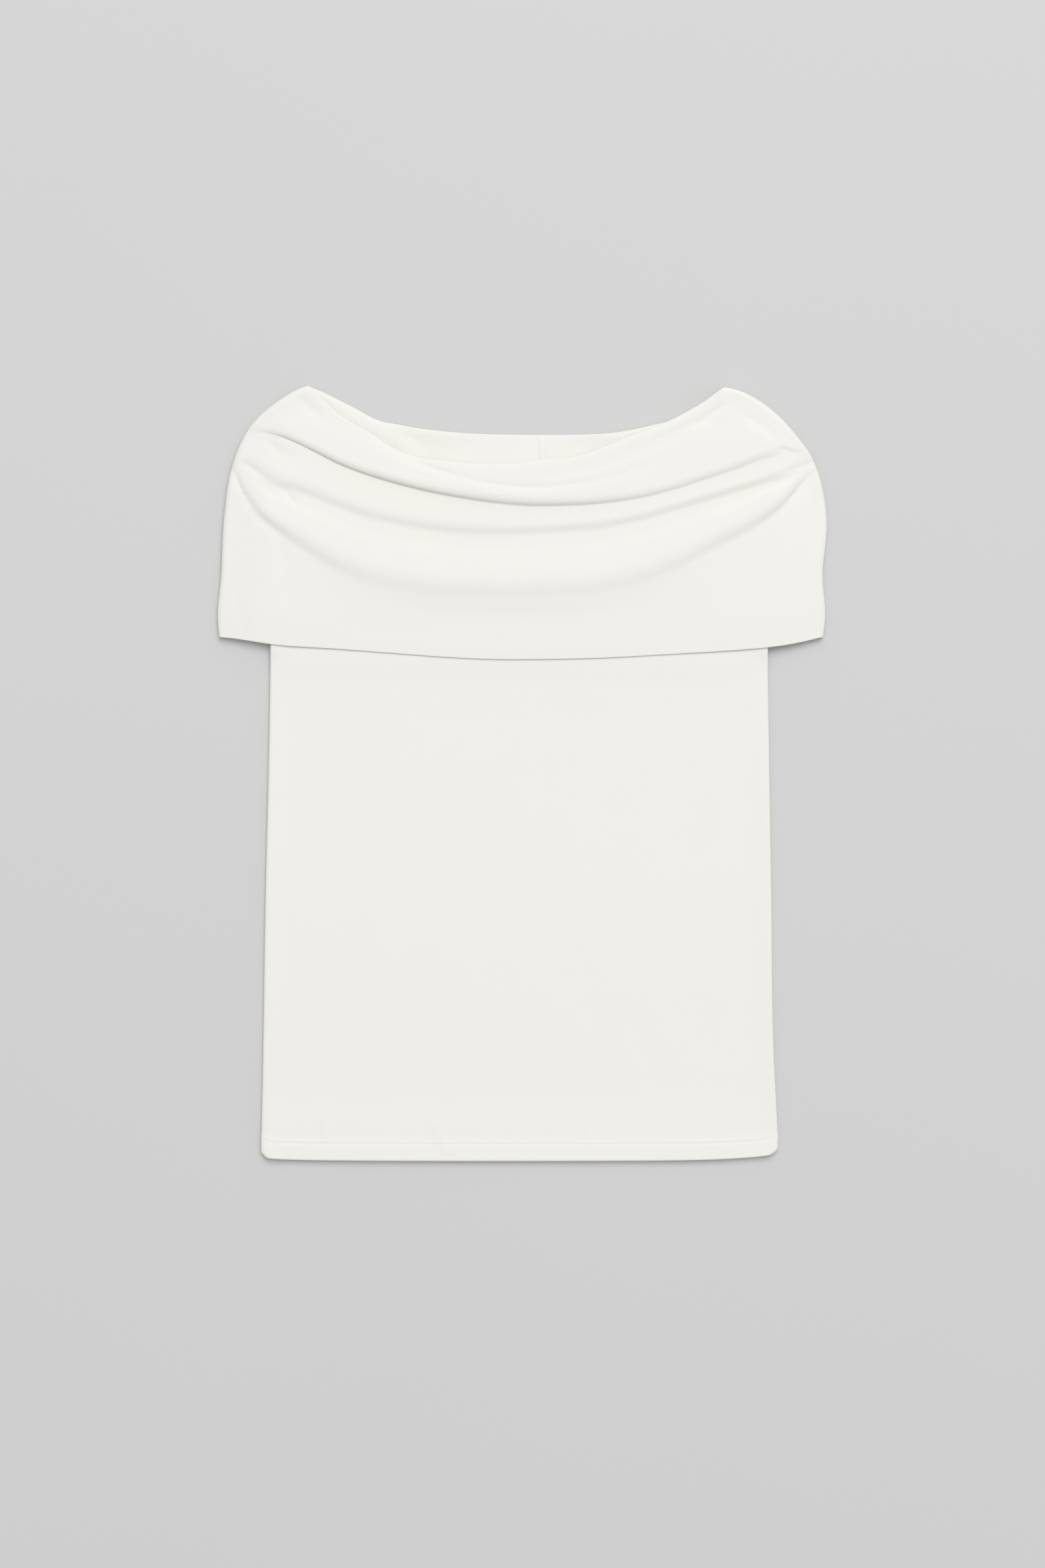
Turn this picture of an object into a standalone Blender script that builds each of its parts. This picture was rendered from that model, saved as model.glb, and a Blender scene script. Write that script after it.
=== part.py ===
"""Off-shoulder top with a draped fold-over collar, laid flat on its back.

Three cut pieces: a front panel, a back panel and a doubled collar band. X runs across the garment,
Y from the hem to the neck, Z up from the surface it lies on. Sizes below are in millimetres, and the
meshes are in metres. The origin is at the middle of the box round the garment, on that surface.
"""
import bpy
import bmesh
import numpy as np
from collections import namedtuple

MM = 0.001

# Cloth
JERSEY_THICK = 1.2
BAND_THICK = 2.4
SEAM_GAP = 0.3
NECK_SEAM_GAP = 0.8
HEM_DEPTH = 13.5
HEM_THICK = 2 * JERSEY_THICK
CLOTH_ROUGHNESS = 0.85
COLLAR_COLOUR = (0.86, 0.85, 0.80)
FRONT_COLOUR = (0.84, 0.83, 0.78)
BACK_COLOUR = (0.82, 0.81, 0.76)

# How the walls are made: points along an outline, how far a folded edge bulges past its two faces as a
# share of their distance, and the angle in degrees from which an edge is drawn sharp
OUTLINE_SAMPLES = 500
FOLD_BULGE = 0.4
SHARP_ANGLE = 50.0

# Heights of the middle of the band's wall above the table
BACK_OUTER_Z = 1.2
BACK_INNER_Z = 4.4
FRONT_INNER_Z = 7.6

# The band inside the neck
FRONT_INNER_DEPTH = 17.0
SIDE_INNER_DEPTH = 21.0
BACK_INNER_DEPTH = 26.0
INNER_MIDDLE_SHARE = 0.55
INNER_INSET = 4.6

# Where the neck edge meets the wing, at the two tips
TIP_THINNING = 0.45
TIP_REACH = 45.0

# How the flattened tube turns at its sides
TURN_WIDTH_OUTER = 4.0
TURN_WIDTH_INNER = 1.8
TURN_STEPS = (0.0, 0.08, 0.3, 0.62, 1.0)

# Shares of a line's width, from each side: where a move towards the hem is fully there, and how far
# the pull of its end on the outline reaches
MOVE_FADE = 0.07
HOLD_REACH = 0.12

# Points across one layer, between the two side turns
FRONT_STATIONS = 27
BACK_STATIONS = 17

# Outline of the collar seen from above, from the tip of the neck down the wing to its lower corner
Side = namedtuple("Side", "x y")
LEFT_WING = (
    Side(-159.8, 291.4), Side(-169.8, 286.2), Side(-182.5, 278.2), Side(-193.0, 270.2),
    Side(-204.2, 258.2), Side(-212.8, 242.2), Side(-217.2, 230.2), Side(-221.8, 206.8),
    Side(-225.2, 154.2), Side(-227.3, 124.2), Side(-228.2, 108.0), Side(-226.8, 103.6))
RIGHT_WING = (
    Side(150.8, 290.4), Side(162.2, 286.2), Side(177.8, 278.2), Side(188.2, 270.2),
    Side(203.2, 254.2), Side(215.8, 238.2), Side(224.8, 214.2), Side(228.2, 192.0),
    Side(226.2, 169.2), Side(223.8, 134.0), Side(226.8, 108.0), Side(224.8, 103.6))

# Lines that run across the front of the collar. Each starts on the left outline at height y_left and
# ends on the right one at y_right, and in between its height is given at eighths of its width.
Guide = namedtuple("Guide", "name y_left y_right eighths")
FRONT_GUIDES = (
    Guide("neck edge", 291.4, 290.4, (258.0, 235.6, 231.2, 230.7, 235.2, 248.5, 265.4)),
    Guide("upper crease", 284.0, 281.0, (248.0, 226.5, 219.4, 214.2, 217.6, 228.5, 246.0)),
    Guide("first fold", 257.2, 241.2, (240.0, 219.3, 206.0, 200.7, 202.9, 213.2, 230.7)),
    Guide("second fold", 234.2, 231.2, (211.3, 192.0, 182.4, 181.0, 185.9, 199.8, 216.1)),
    Guide("third fold", 227.2, 227.2, (174.4, 145.7, 135.7, 132.5, 137.7, 155.1, 181.2)),
    Guide("lower edge", 104.4, 104.4, (95.7, 91.5, 87.0, 85.0, 86.2, 89.5, 93.3)))

# The same lines carried round the back: how far each sags below its ends, and how square its curve is
BackGuide = namedtuple("BackGuide", "name sag squareness")
BACK_GUIDES = (
    BackGuide("neck edge", 37.2, 2.9),
    BackGuide("upper crease", 45.0, 2.6),
    BackGuide("first fold", 30.0, 2.2),
    BackGuide("second fold", 36.0, 2.1),
    BackGuide("third fold", 62.0, 2.0),
    BackGuide("lower edge", 11.5, 2.0))

# Section of the collar from the neck roll to its lower edge. A row lies on a guide line, or between
# two of them. On the front it is moved towards the hem by shift, and at the sides and on the back by
# side_shift. The wall's middle has the heights z_a to z_g above the table, from the left side to the
# right side: it lies low on the wings, and higher where it covers the body.
Row = namedtuple("Row", "name guide shift side_shift z_a z_b z_c z_d z_e z_f z_g")
COLLAR_ROWS = (
    Row("crest", 0.0, 0.0, 0.0, 10.8, 10.9, 11.4, 12.2, 11.2, 10.9, 10.8),
    Row("above crease", 1.0, -3.0, -1.5, 10.7, 11.2, 12.3, 13.1, 11.9, 11.2, 10.7),
    Row("crease", 1.0, 0.0, 0.0, 10.5, 11.2, 12.6, 13.2, 12.1, 11.3, 10.5),
    Row("below crease", 1.3, 0.0, 0.0, 10.0, 11.7, 13.1, 13.9, 12.6, 11.7, 10.0),
    Row("roll top", 2.0, -6.5, -4.5, 8.6, 12.1, 13.7, 14.5, 13.0, 11.9, 8.6),
    Row("roll front", 2.0, -1.7, -1.8, 8.4, 11.9, 13.6, 14.1, 12.7, 11.7, 8.4),
    Row("roll nose", 2.0, 0.9, 0.0, 8.2, 11.0, 12.3, 12.7, 11.8, 11.0, 8.2),
    Row("roll tuck", 2.0, 0.4, 1.6, 8.0, 9.8, 10.6, 11.2, 10.6, 10.2, 8.0),
    Row("first foot", 2.0, 3.6, 3.6, 7.8, 9.2, 9.5, 10.2, 10.0, 9.6, 7.8),
    Row("second rise", 2.5, 0.0, 0.0, 7.5, 9.5, 10.0, 10.2, 10.2, 10.0, 7.5),
    Row("second lip", 3.0, -4.5, -3.0, 7.4, 9.9, 10.3, 10.3, 10.5, 10.3, 7.4),
    Row("second fold", 3.0, 0.0, 0.0, 7.3, 8.7, 9.1, 9.1, 9.1, 8.8, 7.3),
    Row("third rise", 3.15, 0.0, 0.0, 7.2, 8.7, 8.9, 8.7, 8.9, 8.8, 7.2),
    Row("third crown", 3.45, 0.0, 0.0, 7.1, 9.7, 10.3, 10.3, 10.3, 9.9, 7.1),
    Row("third lip", 3.8, 0.0, 0.0, 7.0, 9.6, 10.5, 10.9, 10.6, 9.9, 7.0),
    Row("third fold", 4.0, 0.0, 0.0, 6.9, 8.4, 8.8, 9.2, 8.8, 8.5, 6.9),
    Row("third foot", 4.08, 0.0, 0.0, 6.8, 8.2, 8.2, 8.2, 8.2, 8.3, 6.8),
    Row("upper apron", 4.3, 0.0, 0.0, 6.7, 7.9, 7.6, 7.4, 7.6, 7.9, 6.7),
    Row("apron", 4.65, 0.0, 0.0, 6.6, 7.6, 7.3, 7.2, 7.3, 7.6, 6.6),
    Row("above edge", 4.9, 0.0, 0.0, 6.5, 7.5, 7.2, 7.1, 7.2, 7.5, 6.5),
    Row("lower edge", 5.0, -1.2, -1.2, 6.5, 7.4, 7.1, 7.0, 7.1, 7.4, 6.5))
ROW_HEIGHT_STATIONS = (0.0, 0.08, 0.27, 0.5, 0.73, 0.92, 1.0)

# Rows of the neck roll, as angles from the inner layer round to the outer one
ROLL_ANGLES = (0, 30, 60, 90, 120, 150, 180)

# Extra rings worked out between two rows, so that the folds are round
EXTRA_RINGS = {"crest": 1, "below crease": 1, "roll top": 1, "first foot": 1, "third rise": 1,
               "third crown": 1, "upper apron": 1, "apron": 1}

# Outline of the body below the collar
BodyRow = namedtuple("BodyRow", "y x_left x_right")
BODY_SIDES = (
    BodyRow(-290.0, -189.0, 184.0), BodyRow(-286.0, -193.6, 189.6), BodyRow(-281.0, -194.8, 191.0),
    BodyRow(-268.0, -194.6, 190.6), BodyRow(-200.0, -193.2, 187.6), BodyRow(-100.0, -191.4, 186.2),
    BodyRow(0.0, -188.8, 184.4), BodyRow(94.0, -187.8, 183.2), BodyRow(168.0, -187.0, 182.6))

# Hem line: its height on the garment, how far it rises at each side, and where the rise dies out
HEM_Y = -290.2
HEM_RISE_LEFT = 1.8
HEM_RISE_RIGHT = 4.6
HEM_RISE_POWER = 6.0
HEM_RISE_TOP_Y = -200.0
HEM_RISE_FADE = 80.0

# Armhole scoops: where they start, the shares of the neck seam's width between which a panel is sewn
# to it, and how fast the scoops draw in
UNDERARM_Y = 168.0
TOP_FRACTION_LEFT = 0.13
TOP_FRACTION_RIGHT = 0.87
SCOOP_POWER = 0.55

# Rows of a body panel from the hem up: the height on the garment, and above the underarm the share of
# the way to the neck seam. Then the level of the panel's underside for the back and for the front, how
# thick the wall is, and how far its sides are turned towards the other panel's at the side seam.
PanelRow = namedtuple("PanelRow", "name y share back_level front_level thick seamed")
PANEL_ROWS = (
    PanelRow("hem fold", -289.3, 0.0, 0.0, 2.7, HEM_THICK, 1.0),
    PanelRow("hem", -286.6, 0.0, 0.0, 2.7, HEM_THICK, 1.0),
    PanelRow("hem middle", -282.0, 0.0, 0.0, 2.7, HEM_THICK, 1.0),
    PanelRow("hem top", HEM_Y + HEM_DEPTH, 0.0, 0.0, 2.7, HEM_THICK, 1.0),
    PanelRow("above hem", -275.6, 0.0, 0.0, 3.3, JERSEY_THICK, 1.0),
    PanelRow("lower body", -266.0, 0.0, 0.0, 1.9, JERSEY_THICK, 1.0),
    PanelRow("low waist", -200.0, 0.0, 0.0, 1.7, JERSEY_THICK, 1.0),
    PanelRow("waist", -120.0, 0.0, 0.0, 1.8, JERSEY_THICK, 1.0),
    PanelRow("high waist", -40.0, 0.0, 0.0, 1.7, JERSEY_THICK, 1.0),
    PanelRow("chest", 40.0, 0.0, 0.0, 2.2, JERSEY_THICK, 1.0),
    PanelRow("below collar", 70.0, 0.0, 0.0, 3.4, JERSEY_THICK, 1.0),
    PanelRow("under edge", 82.0, 0.0, 1.2, 3.9, JERSEY_THICK, 1.0),
    PanelRow("over band", 91.0, 0.0, 2.7, 4.2, JERSEY_THICK, 1.0),
    PanelRow("under collar", 125.0, 0.0, 2.7, 4.4, JERSEY_THICK, 1.0),
    PanelRow("seam end", 142.0, 0.0, 2.7, 4.9, JERSEY_THICK, 0.6),
    PanelRow("under arm", 156.0, 0.0, 2.7, 5.1, JERSEY_THICK, 0.25),
    PanelRow("low scoop", UNDERARM_Y, 0.0, 2.7, 4.8, JERSEY_THICK, 0.0),
    PanelRow("scoop", UNDERARM_Y, 0.15, 2.7, 4.7, JERSEY_THICK, 0.0),
    PanelRow("middle scoop", UNDERARM_Y, 0.45, 2.7, 4.7, JERSEY_THICK, 0.0),
    PanelRow("high scoop", UNDERARM_Y, 0.75, 3.0, 5.2, JERSEY_THICK, 0.0),
    PanelRow("neck seam", UNDERARM_Y, 1.0, 3.8, 7.0, JERSEY_THICK, 0.0))
PANEL_STATIONS = 23

# Side seams: the two panels meet at half height, turned towards each other
SIDE_TURN_SHARE = 0.58
SIDE_HEIGHT = 4.2
SIDE_HEIGHT_HEM = 5.6
SIDE_HEIGHT_UNDER_COLLAR = 3.4
SIDE_SOFTNESS = 16.0

# The doubled hem grows to its full thickness between these two distances, in widths of the side turn
DOUBLED_START = 1.5
DOUBLED_END = 3.5


def blend(start, stop, bend_start, bend_stop, share):
    """The cubic curve from start to stop that leaves and arrives with the given bends."""
    near = (1 + 2 * share) * (1 - share) ** 2 * start + share * (1 - share) ** 2 * bend_start
    far = share ** 2 * (3 - 2 * share) * stop + share ** 2 * (share - 1) * bend_stop
    return near + far


def sloped_curve(xs, ys, slopes, x):
    """The curve through the points (xs, ys) that has these slopes at them, read at x."""
    x = np.clip(x, xs[0], xs[-1])
    index = np.clip(np.searchsorted(xs, x, side="right") - 1, 0, len(xs) - 2)
    width = xs[index + 1] - xs[index]
    share = (x - xs[index]) / width
    return blend(ys[index], ys[index + 1], width * slopes[index], width * slopes[index + 1], share)


def smooth_curve(xs, ys, x, end_slopes=None):
    """A smooth curve through the points (xs, ys), read at x. Its ends may be given a slope."""
    xs = np.asarray(xs, float)
    ys = np.asarray(ys, float)
    slopes = np.gradient(ys, xs)
    if end_slopes is not None:
        slopes[0], slopes[-1] = end_slopes
    return sloped_curve(xs, ys, slopes, x)


def steady_curve(xs, ys, x):
    """A smooth curve through the points that never overshoots them and is level at both ends."""
    xs = np.asarray(xs, float)
    ys = np.asarray(ys, float)
    steps = np.diff(ys) / np.diff(xs)
    same_way = steps[:-1] * steps[1:] > 0
    sums = np.where(same_way, steps[:-1] + steps[1:], 1.0)
    slopes = np.zeros(len(xs))
    slopes[1:-1] = np.where(same_way, 2 * steps[:-1] * steps[1:] / sums, 0.0)
    return sloped_curve(xs, ys, slopes, x)


def ease(s):
    s = np.clip(s, 0.0, 1.0)
    return s * s * (3 - 2 * s)


class Outline:
    """One wing's outline as a smooth line, measured by its length from the tip."""

    def __init__(self, sides):
        corners = np.array([(side.x, side.y) for side in sides])
        chords = np.hypot(*np.diff(corners, axis=0).T)
        along = np.concatenate(([0.0], np.cumsum(chords)))
        fine = np.linspace(0.0, along[-1], OUTLINE_SAMPLES)
        self.points = np.column_stack([smooth_curve(along, corners[:, 0], fine),
                                       smooth_curve(along, corners[:, 1], fine)])
        self.length = fine
        direction = np.gradient(self.points, axis=0)
        direction /= np.linalg.norm(direction, axis=1)[:, None]
        inward = np.column_stack([-direction[:, 1], direction[:, 0]])
        if inward[OUTLINE_SAMPLES // 2, 0] * corners[0, 0] > 0:
            inward = -inward
        self.inward = inward

    def length_at(self, y):
        return float(np.interp(-y, -self.points[:, 1], self.length))

    def point(self, length, inset):
        x = np.interp(length, self.length, self.points[:, 0])
        y = np.interp(length, self.length, self.points[:, 1])
        nx = np.interp(length, self.length, self.inward[:, 0])
        ny = np.interp(length, self.length, self.inward[:, 1])
        return np.array([x + nx * inset, y + ny * inset])


LEFT = Outline(LEFT_WING)
RIGHT = Outline(RIGHT_WING)


def guide_ends(guide):
    return (LEFT.point(LEFT.length_at(guide.y_left), 0.0),
            RIGHT.point(RIGHT.length_at(guide.y_right), 0.0))


def front_guide_points(number, fractions):
    """Points of one front guide line at fractions of its width."""
    guide = FRONT_GUIDES[number]
    left, right = guide_ends(guide)
    stations = np.linspace(0.0, 1.0, len(guide.eighths) + 2)
    heights = (left[1],) + guide.eighths + (right[1],)
    level_ends = (0.0, 0.0) if guide.name == "first fold" else None
    return np.column_stack([left[0] + (right[0] - left[0]) * fractions,
                            smooth_curve(stations, heights, fractions, level_ends)])


def back_guide_points(number, fractions):
    """Points of the same line on the back: a plain sagging curve between the same ends."""
    left, right = guide_ends(FRONT_GUIDES[number])
    line = BACK_GUIDES[number]
    chord = left + (right - left) * fractions[:, None]
    sag = line.sag * (1 - np.abs(2 * fractions - 1) ** line.squareness)
    return chord - np.column_stack([np.zeros_like(sag), sag])


def plan_line(guide_points, place, shift, ends, fractions):
    """A line between two guides, moved towards the hem by shift, its ends held on the outline."""
    lower = min(int(place), len(FRONT_GUIDES) - 2)
    share = place - lower
    points = guide_points(lower, fractions) * (1 - share) + guide_points(lower + 1, fractions) * share
    slope = np.gradient(points, axis=0)
    towards_hem = np.column_stack([slope[:, 1], -slope[:, 0]])
    towards_hem /= np.linalg.norm(slope, axis=1)[:, None]
    from_side = np.minimum(fractions, 1 - fractions)
    shift = shift(fractions) if callable(shift) else shift
    points = points + towards_hem * (shift * ease(from_side / MOVE_FADE))[:, None]
    hold_left = (1 - ease(fractions / HOLD_REACH))[:, None]
    hold_right = (1 - ease((1 - fractions) / HOLD_REACH))[:, None]
    return points + (ends[0] - points[0]) * hold_left + (ends[1] - points[-1]) * hold_right


def fractions_across(width, turn, count):
    """Stations across a layer: close together round each side turn, even in between."""
    near = np.array(TURN_STEPS[1:]) * turn / width
    between = np.linspace(near[-1], 1 - near[-1], count + 2)[1:-1]
    return np.concatenate([near, between, 1 - near[::-1]])


def turn_share(fractions, width, turn):
    """How far round the side turn each station is: 0 at the side, 1 once past it."""
    from_side = np.minimum(fractions, 1 - fractions) * width
    s = np.clip(from_side / turn, 0.0, 1.0)
    return np.sqrt(1 - (1 - s) ** 2)


def ring(place, shifts, ends, turn, front_heights, back_z):
    """One closed line round the flattened band: over the front, then back under it."""
    width = ends[1][0] - ends[0][0]
    middle_left = (front_heights[0] + back_z) / 2
    middle_right = (front_heights[-1] + back_z) / 2

    def layer(guide_points, shift, count, heights):
        inside = fractions_across(width, turn, count)
        fractions = np.concatenate([[0.0], inside, [1.0]])
        plan = plan_line(guide_points, place, shift, ends, fractions)
        middle = middle_left + (middle_right - middle_left) * fractions
        flat = np.broadcast_to(heights(fractions), fractions.shape)
        z = middle + (flat - middle) * turn_share(fractions, width, turn)
        return np.column_stack([plan, z])

    front = layer(front_guide_points, shifts[0], FRONT_STATIONS,
                  lambda across: steady_curve(ROW_HEIGHT_STATIONS, front_heights, across))
    back = layer(back_guide_points, shifts[1], BACK_STATIONS, lambda across: back_z)
    return np.vstack([front, back[-2:0:-1]])


def row_heights(row):
    return (row.z_a, row.z_b, row.z_c, row.z_d, row.z_e, row.z_f, row.z_g)


def outline_ends(place, extra_length, inset):
    """Where a ring turns at each side: between its guides' ends, on the outline or inside it."""
    lower = min(int(place), len(FRONT_GUIDES) - 2)
    share = place - lower
    ends = []
    for outline, field in ((LEFT, "y_left"), (RIGHT, "y_right")):
        upper = outline.length_at(getattr(FRONT_GUIDES[lower], field))
        under = outline.length_at(getattr(FRONT_GUIDES[lower + 1], field))
        length = upper + (under - upper) * share + extra_length
        ends.append(outline.point(max(length, 0.0), inset))
    return ends


def inner_ring(share):
    """The band inside the neck: at its seam where share is 1, nearer to the neck edge where it is less."""
    ends = outline_ends(0.0, SIDE_INNER_DEPTH * share, INNER_INSET)
    depths = (FRONT_INNER_DEPTH * share, BACK_INNER_DEPTH * share)
    heights = (FRONT_INNER_Z,) * len(ROW_HEIGHT_STATIONS)
    return ring(0.0, depths, ends, TURN_WIDTH_INNER, heights, BACK_INNER_Z)


def roll_ring(degrees):
    """A ring of the neck roll: half a turn from the inner layer, over the neck edge, to the crest."""
    angle = np.radians(degrees)
    reach = 1 - np.sin(angle)
    outward = (1 - np.cos(angle)) / 2
    crest = np.array(row_heights(COLLAR_ROWS[0]))
    half = BAND_THICK / 2
    front_heights = FRONT_INNER_Z + (crest - FRONT_INNER_Z) * outward
    back_z = BACK_INNER_Z + (BACK_OUTER_Z - BACK_INNER_Z) * outward
    turn = TURN_WIDTH_INNER + (TURN_WIDTH_OUTER - TURN_WIDTH_INNER) * outward
    side_radius = (INNER_INSET - half) / 2
    ends = outline_ends(0.0, side_radius * reach, INNER_INSET + (half - INNER_INSET) * outward)

    def front_shift(fractions):
        return half + (steady_curve(ROW_HEIGHT_STATIONS, crest, fractions) - FRONT_INNER_Z) / 2 * reach

    back_shift = half + (BACK_INNER_Z - BACK_OUTER_Z) / 2 * reach
    return ring(0.0, (front_shift, back_shift), ends, turn, front_heights, back_z)


def collar_rings():
    """All rings of the collar, from the seam inside the neck to the folded lower edge."""
    rings = [inner_ring(1.0), inner_ring(INNER_MIDDLE_SHARE)]
    rings += [roll_ring(degrees) for degrees in ROLL_ANGLES]
    outer = [rings[-1]]
    for row in COLLAR_ROWS[1:]:
        ends = outline_ends(row.guide, row.side_shift, BAND_THICK / 2)
        shifts = (row.shift, row.side_shift)
        outer.append(ring(row.guide, shifts, ends, TURN_WIDTH_OUTER, row_heights(row), BACK_OUTER_Z))
    for number, row in enumerate(COLLAR_ROWS[:-1]):
        before = outer[number - 1] if number else rings[-2]
        start, stop = outer[number], outer[number + 1]
        after = outer[min(number + 2, len(outer) - 1)]
        extra = EXTRA_RINGS.get(row.name, 0)
        for step in range(1, extra + 1):
            rings.append(between_rings(before, start, stop, after, step / (extra + 1)))
        rings.append(stop)
    return np.array(rings)


def between_rings(before, start, stop, after, share):
    """A ring on the smooth curve through four rings, between the middle two."""
    bend_start = (stop - before) / 4
    bend_stop = (after - start) / 4
    middle = blend(start, stop, bend_start, bend_stop, share)
    middle[:, 2] = np.maximum(middle[:, 2], np.minimum(start[:, 2], stop[:, 2]))
    return middle


def body_sides(y):
    """The body's left and right edges at the height y."""
    heights = [row.y for row in BODY_SIDES]
    return (np.interp(y, heights, [row.x_left for row in BODY_SIDES]),
            np.interp(y, heights, [row.x_right for row in BODY_SIDES]))


def seam_line(guide_points, fractions):
    """The part of the collar's inner seam that a panel is sewn to, on the collar's own straight facets."""
    ends = outline_ends(0.0, SIDE_INNER_DEPTH, INNER_INSET)
    width = ends[1][0] - ends[0][0]
    is_front = guide_points is front_guide_points
    count = FRONT_STATIONS if is_front else BACK_STATIONS
    depth = FRONT_INNER_DEPTH if is_front else BACK_INNER_DEPTH
    stations = fractions_across(width, TURN_WIDTH_INNER, count)
    line = plan_line(guide_points, 0.0, depth, ends, np.concatenate([[0.0], stations, [1.0]]))
    reach = TOP_FRACTION_LEFT + (TOP_FRACTION_RIGHT - TOP_FRACTION_LEFT) * fractions
    x = ends[0][0] + width * reach
    return np.column_stack([x, np.interp(x, line[:, 0], line[:, 1]) - NECK_SEAM_GAP])


def hem_rise(fractions):
    across = 2 * fractions - 1
    side_rise = np.where(across < 0, HEM_RISE_LEFT, HEM_RISE_RIGHT)
    return side_rise * np.abs(across) ** HEM_RISE_POWER


def panel_plan(row, guide_points, fractions):
    """Where one row of a panel runs, seen from above."""
    x_left, x_right = body_sides(row.y)
    x = x_left + (x_right - x_left) * fractions
    y = row.y + hem_rise(fractions) * ease((HEM_RISE_TOP_Y - row.y) / HEM_RISE_FADE)
    if row.share == 0.0:
        return np.column_stack([x, y])
    top = seam_line(guide_points, fractions)
    x = x + (top[:, 0] - x) * row.share ** SCOOP_POWER
    y = y + (top[:, 1] - y) * row.share
    return np.column_stack([x, y])


def side_height(row):
    if row.thick > JERSEY_THICK:
        return SIDE_HEIGHT_HEM
    if row.back_level > 0.0:
        return SIDE_HEIGHT_UNDER_COLLAR
    return SIDE_HEIGHT


def panel_grid(guide_points, is_front):
    """The outer face of a body panel and the thickness of its wall at each point."""
    grid = []
    thickness = []
    for row in PANEL_ROWS:
        x_left, x_right = body_sides(row.y)
        width = x_right - x_left
        height = side_height(row)
        side_turn = height * SIDE_TURN_SHARE
        inside = fractions_across(width, side_turn, PANEL_STATIONS)
        fractions = np.concatenate([[0.0], inside, [1.0]])
        plan = panel_plan(row, guide_points, fractions)
        round_side = turn_share(fractions, width, side_turn)
        from_side = np.minimum(fractions, 1 - fractions) * width
        softening = ease((from_side - side_turn) / SIDE_SOFTNESS)
        seam_z = row.back_level + height / 2
        if is_front:
            flat = row.front_level + row.thick
            rim = row.back_level + height
            start = seam_z + SEAM_GAP / 2
            turned = start + (rim - start) * round_side
            z_seamed = turned + (flat - rim) * softening
        else:
            flat = row.back_level
            start = seam_z - SEAM_GAP / 2
            z_seamed = start + (flat - start) * round_side
        z = flat + (z_seamed - flat) * row.seamed
        grid.append(np.column_stack([plan, z]))
        doubled = ease((from_side / side_turn - DOUBLED_START) / (DOUBLED_END - DOUBLED_START))
        thickness.append(JERSEY_THICK + (row.thick - JERSEY_THICK) * doubled)
    return np.array(grid), np.array(thickness)


def unit(vectors):
    return vectors / np.linalg.norm(vectors, axis=-1, keepdims=True)


def line_directions(grid, axis, closed):
    """The direction of the grid's lines at each point: halfway between the steps before and after it."""
    grid = np.moveaxis(grid, axis, 0)
    if closed:
        steps = unit(np.roll(grid, -1, axis=0) - grid)
        directions = steps + np.roll(steps, 1, axis=0)
    else:
        steps = unit(np.diff(grid, axis=0))
        directions = np.concatenate([steps[:1], steps[:-1] + steps[1:], steps[-1:]])
    return np.moveaxis(unit(directions), 0, axis)


def grid_normals(grid, closed):
    """The direction across the cloth at each point of a grid of rows."""
    return unit(np.cross(line_directions(grid, 1, closed), line_directions(grid, 0, False)))


def wall_mesh(name, outer, inner, closed, nose):
    """A closed wall between two faces of cloth, with a rounded fold along the edge named by nose."""
    rows, columns = outer.shape[:2]
    mesh = bmesh.new()
    outer_points = [[mesh.verts.new(point * MM) for point in line] for line in outer]
    inner_points = [[mesh.verts.new(point * MM) for point in line] for line in inner]
    spans = columns if closed else columns - 1
    for row in range(rows - 1):
        for column in range(spans):
            after = (column + 1) % columns
            for points in (outer_points, inner_points):
                mesh.faces.new((points[row][column], points[row][after],
                                points[row + 1][after], points[row + 1][column]))
    for row in (0, rows - 1):
        bridge = [outer_points[row], inner_points[row]]
        if row == nose:
            step = -1 if row else 1
            middle = (outer[row] + inner[row]) / 2
            outwards = middle - (outer[row + step] + inner[row + step]) / 2
            outwards = unit(outwards)
            depth = np.linalg.norm(outer[row] - inner[row], axis=1)[:, None] * FOLD_BULGE
            bridge.insert(1, [mesh.verts.new(point * MM) for point in middle + outwards * depth])
        for first, second in zip(bridge, bridge[1:]):
            for column in range(spans):
                after = (column + 1) % columns
                mesh.faces.new((first[column], first[after], second[after], second[column]))
        if row == nose and not closed:
            for column in (0, columns - 1):
                mesh.faces.new([line[column] for line in bridge])
    if not closed:
        for column in (0, columns - 1):
            for row in range(rows - 1):
                mesh.faces.new((outer_points[row][column], outer_points[row + 1][column],
                                inner_points[row + 1][column], inner_points[row][column]))
    bmesh.ops.recalc_face_normals(mesh, faces=mesh.faces)
    data = bpy.data.meshes.new(name)
    mesh.to_mesh(data)
    mesh.free()
    data.shade_smooth()
    data.set_sharp_from_angle(angle=np.radians(SHARP_ANGLE))
    piece = bpy.data.objects.new(name, data)
    bpy.context.collection.objects.link(piece)
    return piece


def cloth_material(name, colour):
    material = bpy.data.materials.new(name)
    material.use_nodes = True
    shader = material.node_tree.nodes["Principled BSDF"]
    shader.inputs["Base Color"].default_value = (*colour, 1.0)
    shader.inputs["Roughness"].default_value = CLOTH_ROUGHNESS
    shader.inputs["Metallic"].default_value = 0.0
    return material


def band_half_thickness(rings):
    """Half the wall's thickness at each point: the cloth is pressed thinner at the two tips of the neck."""
    half = np.full(rings.shape[:2], BAND_THICK / 2)
    for tip in (LEFT_WING[0], RIGHT_WING[0]):
        distance = np.hypot(rings[:, :, 0] - tip.x, rings[:, :, 1] - tip.y)
        half *= 1 - TIP_THINNING * (1 - ease(distance / TIP_REACH))
    return half[:, :, None]


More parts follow.
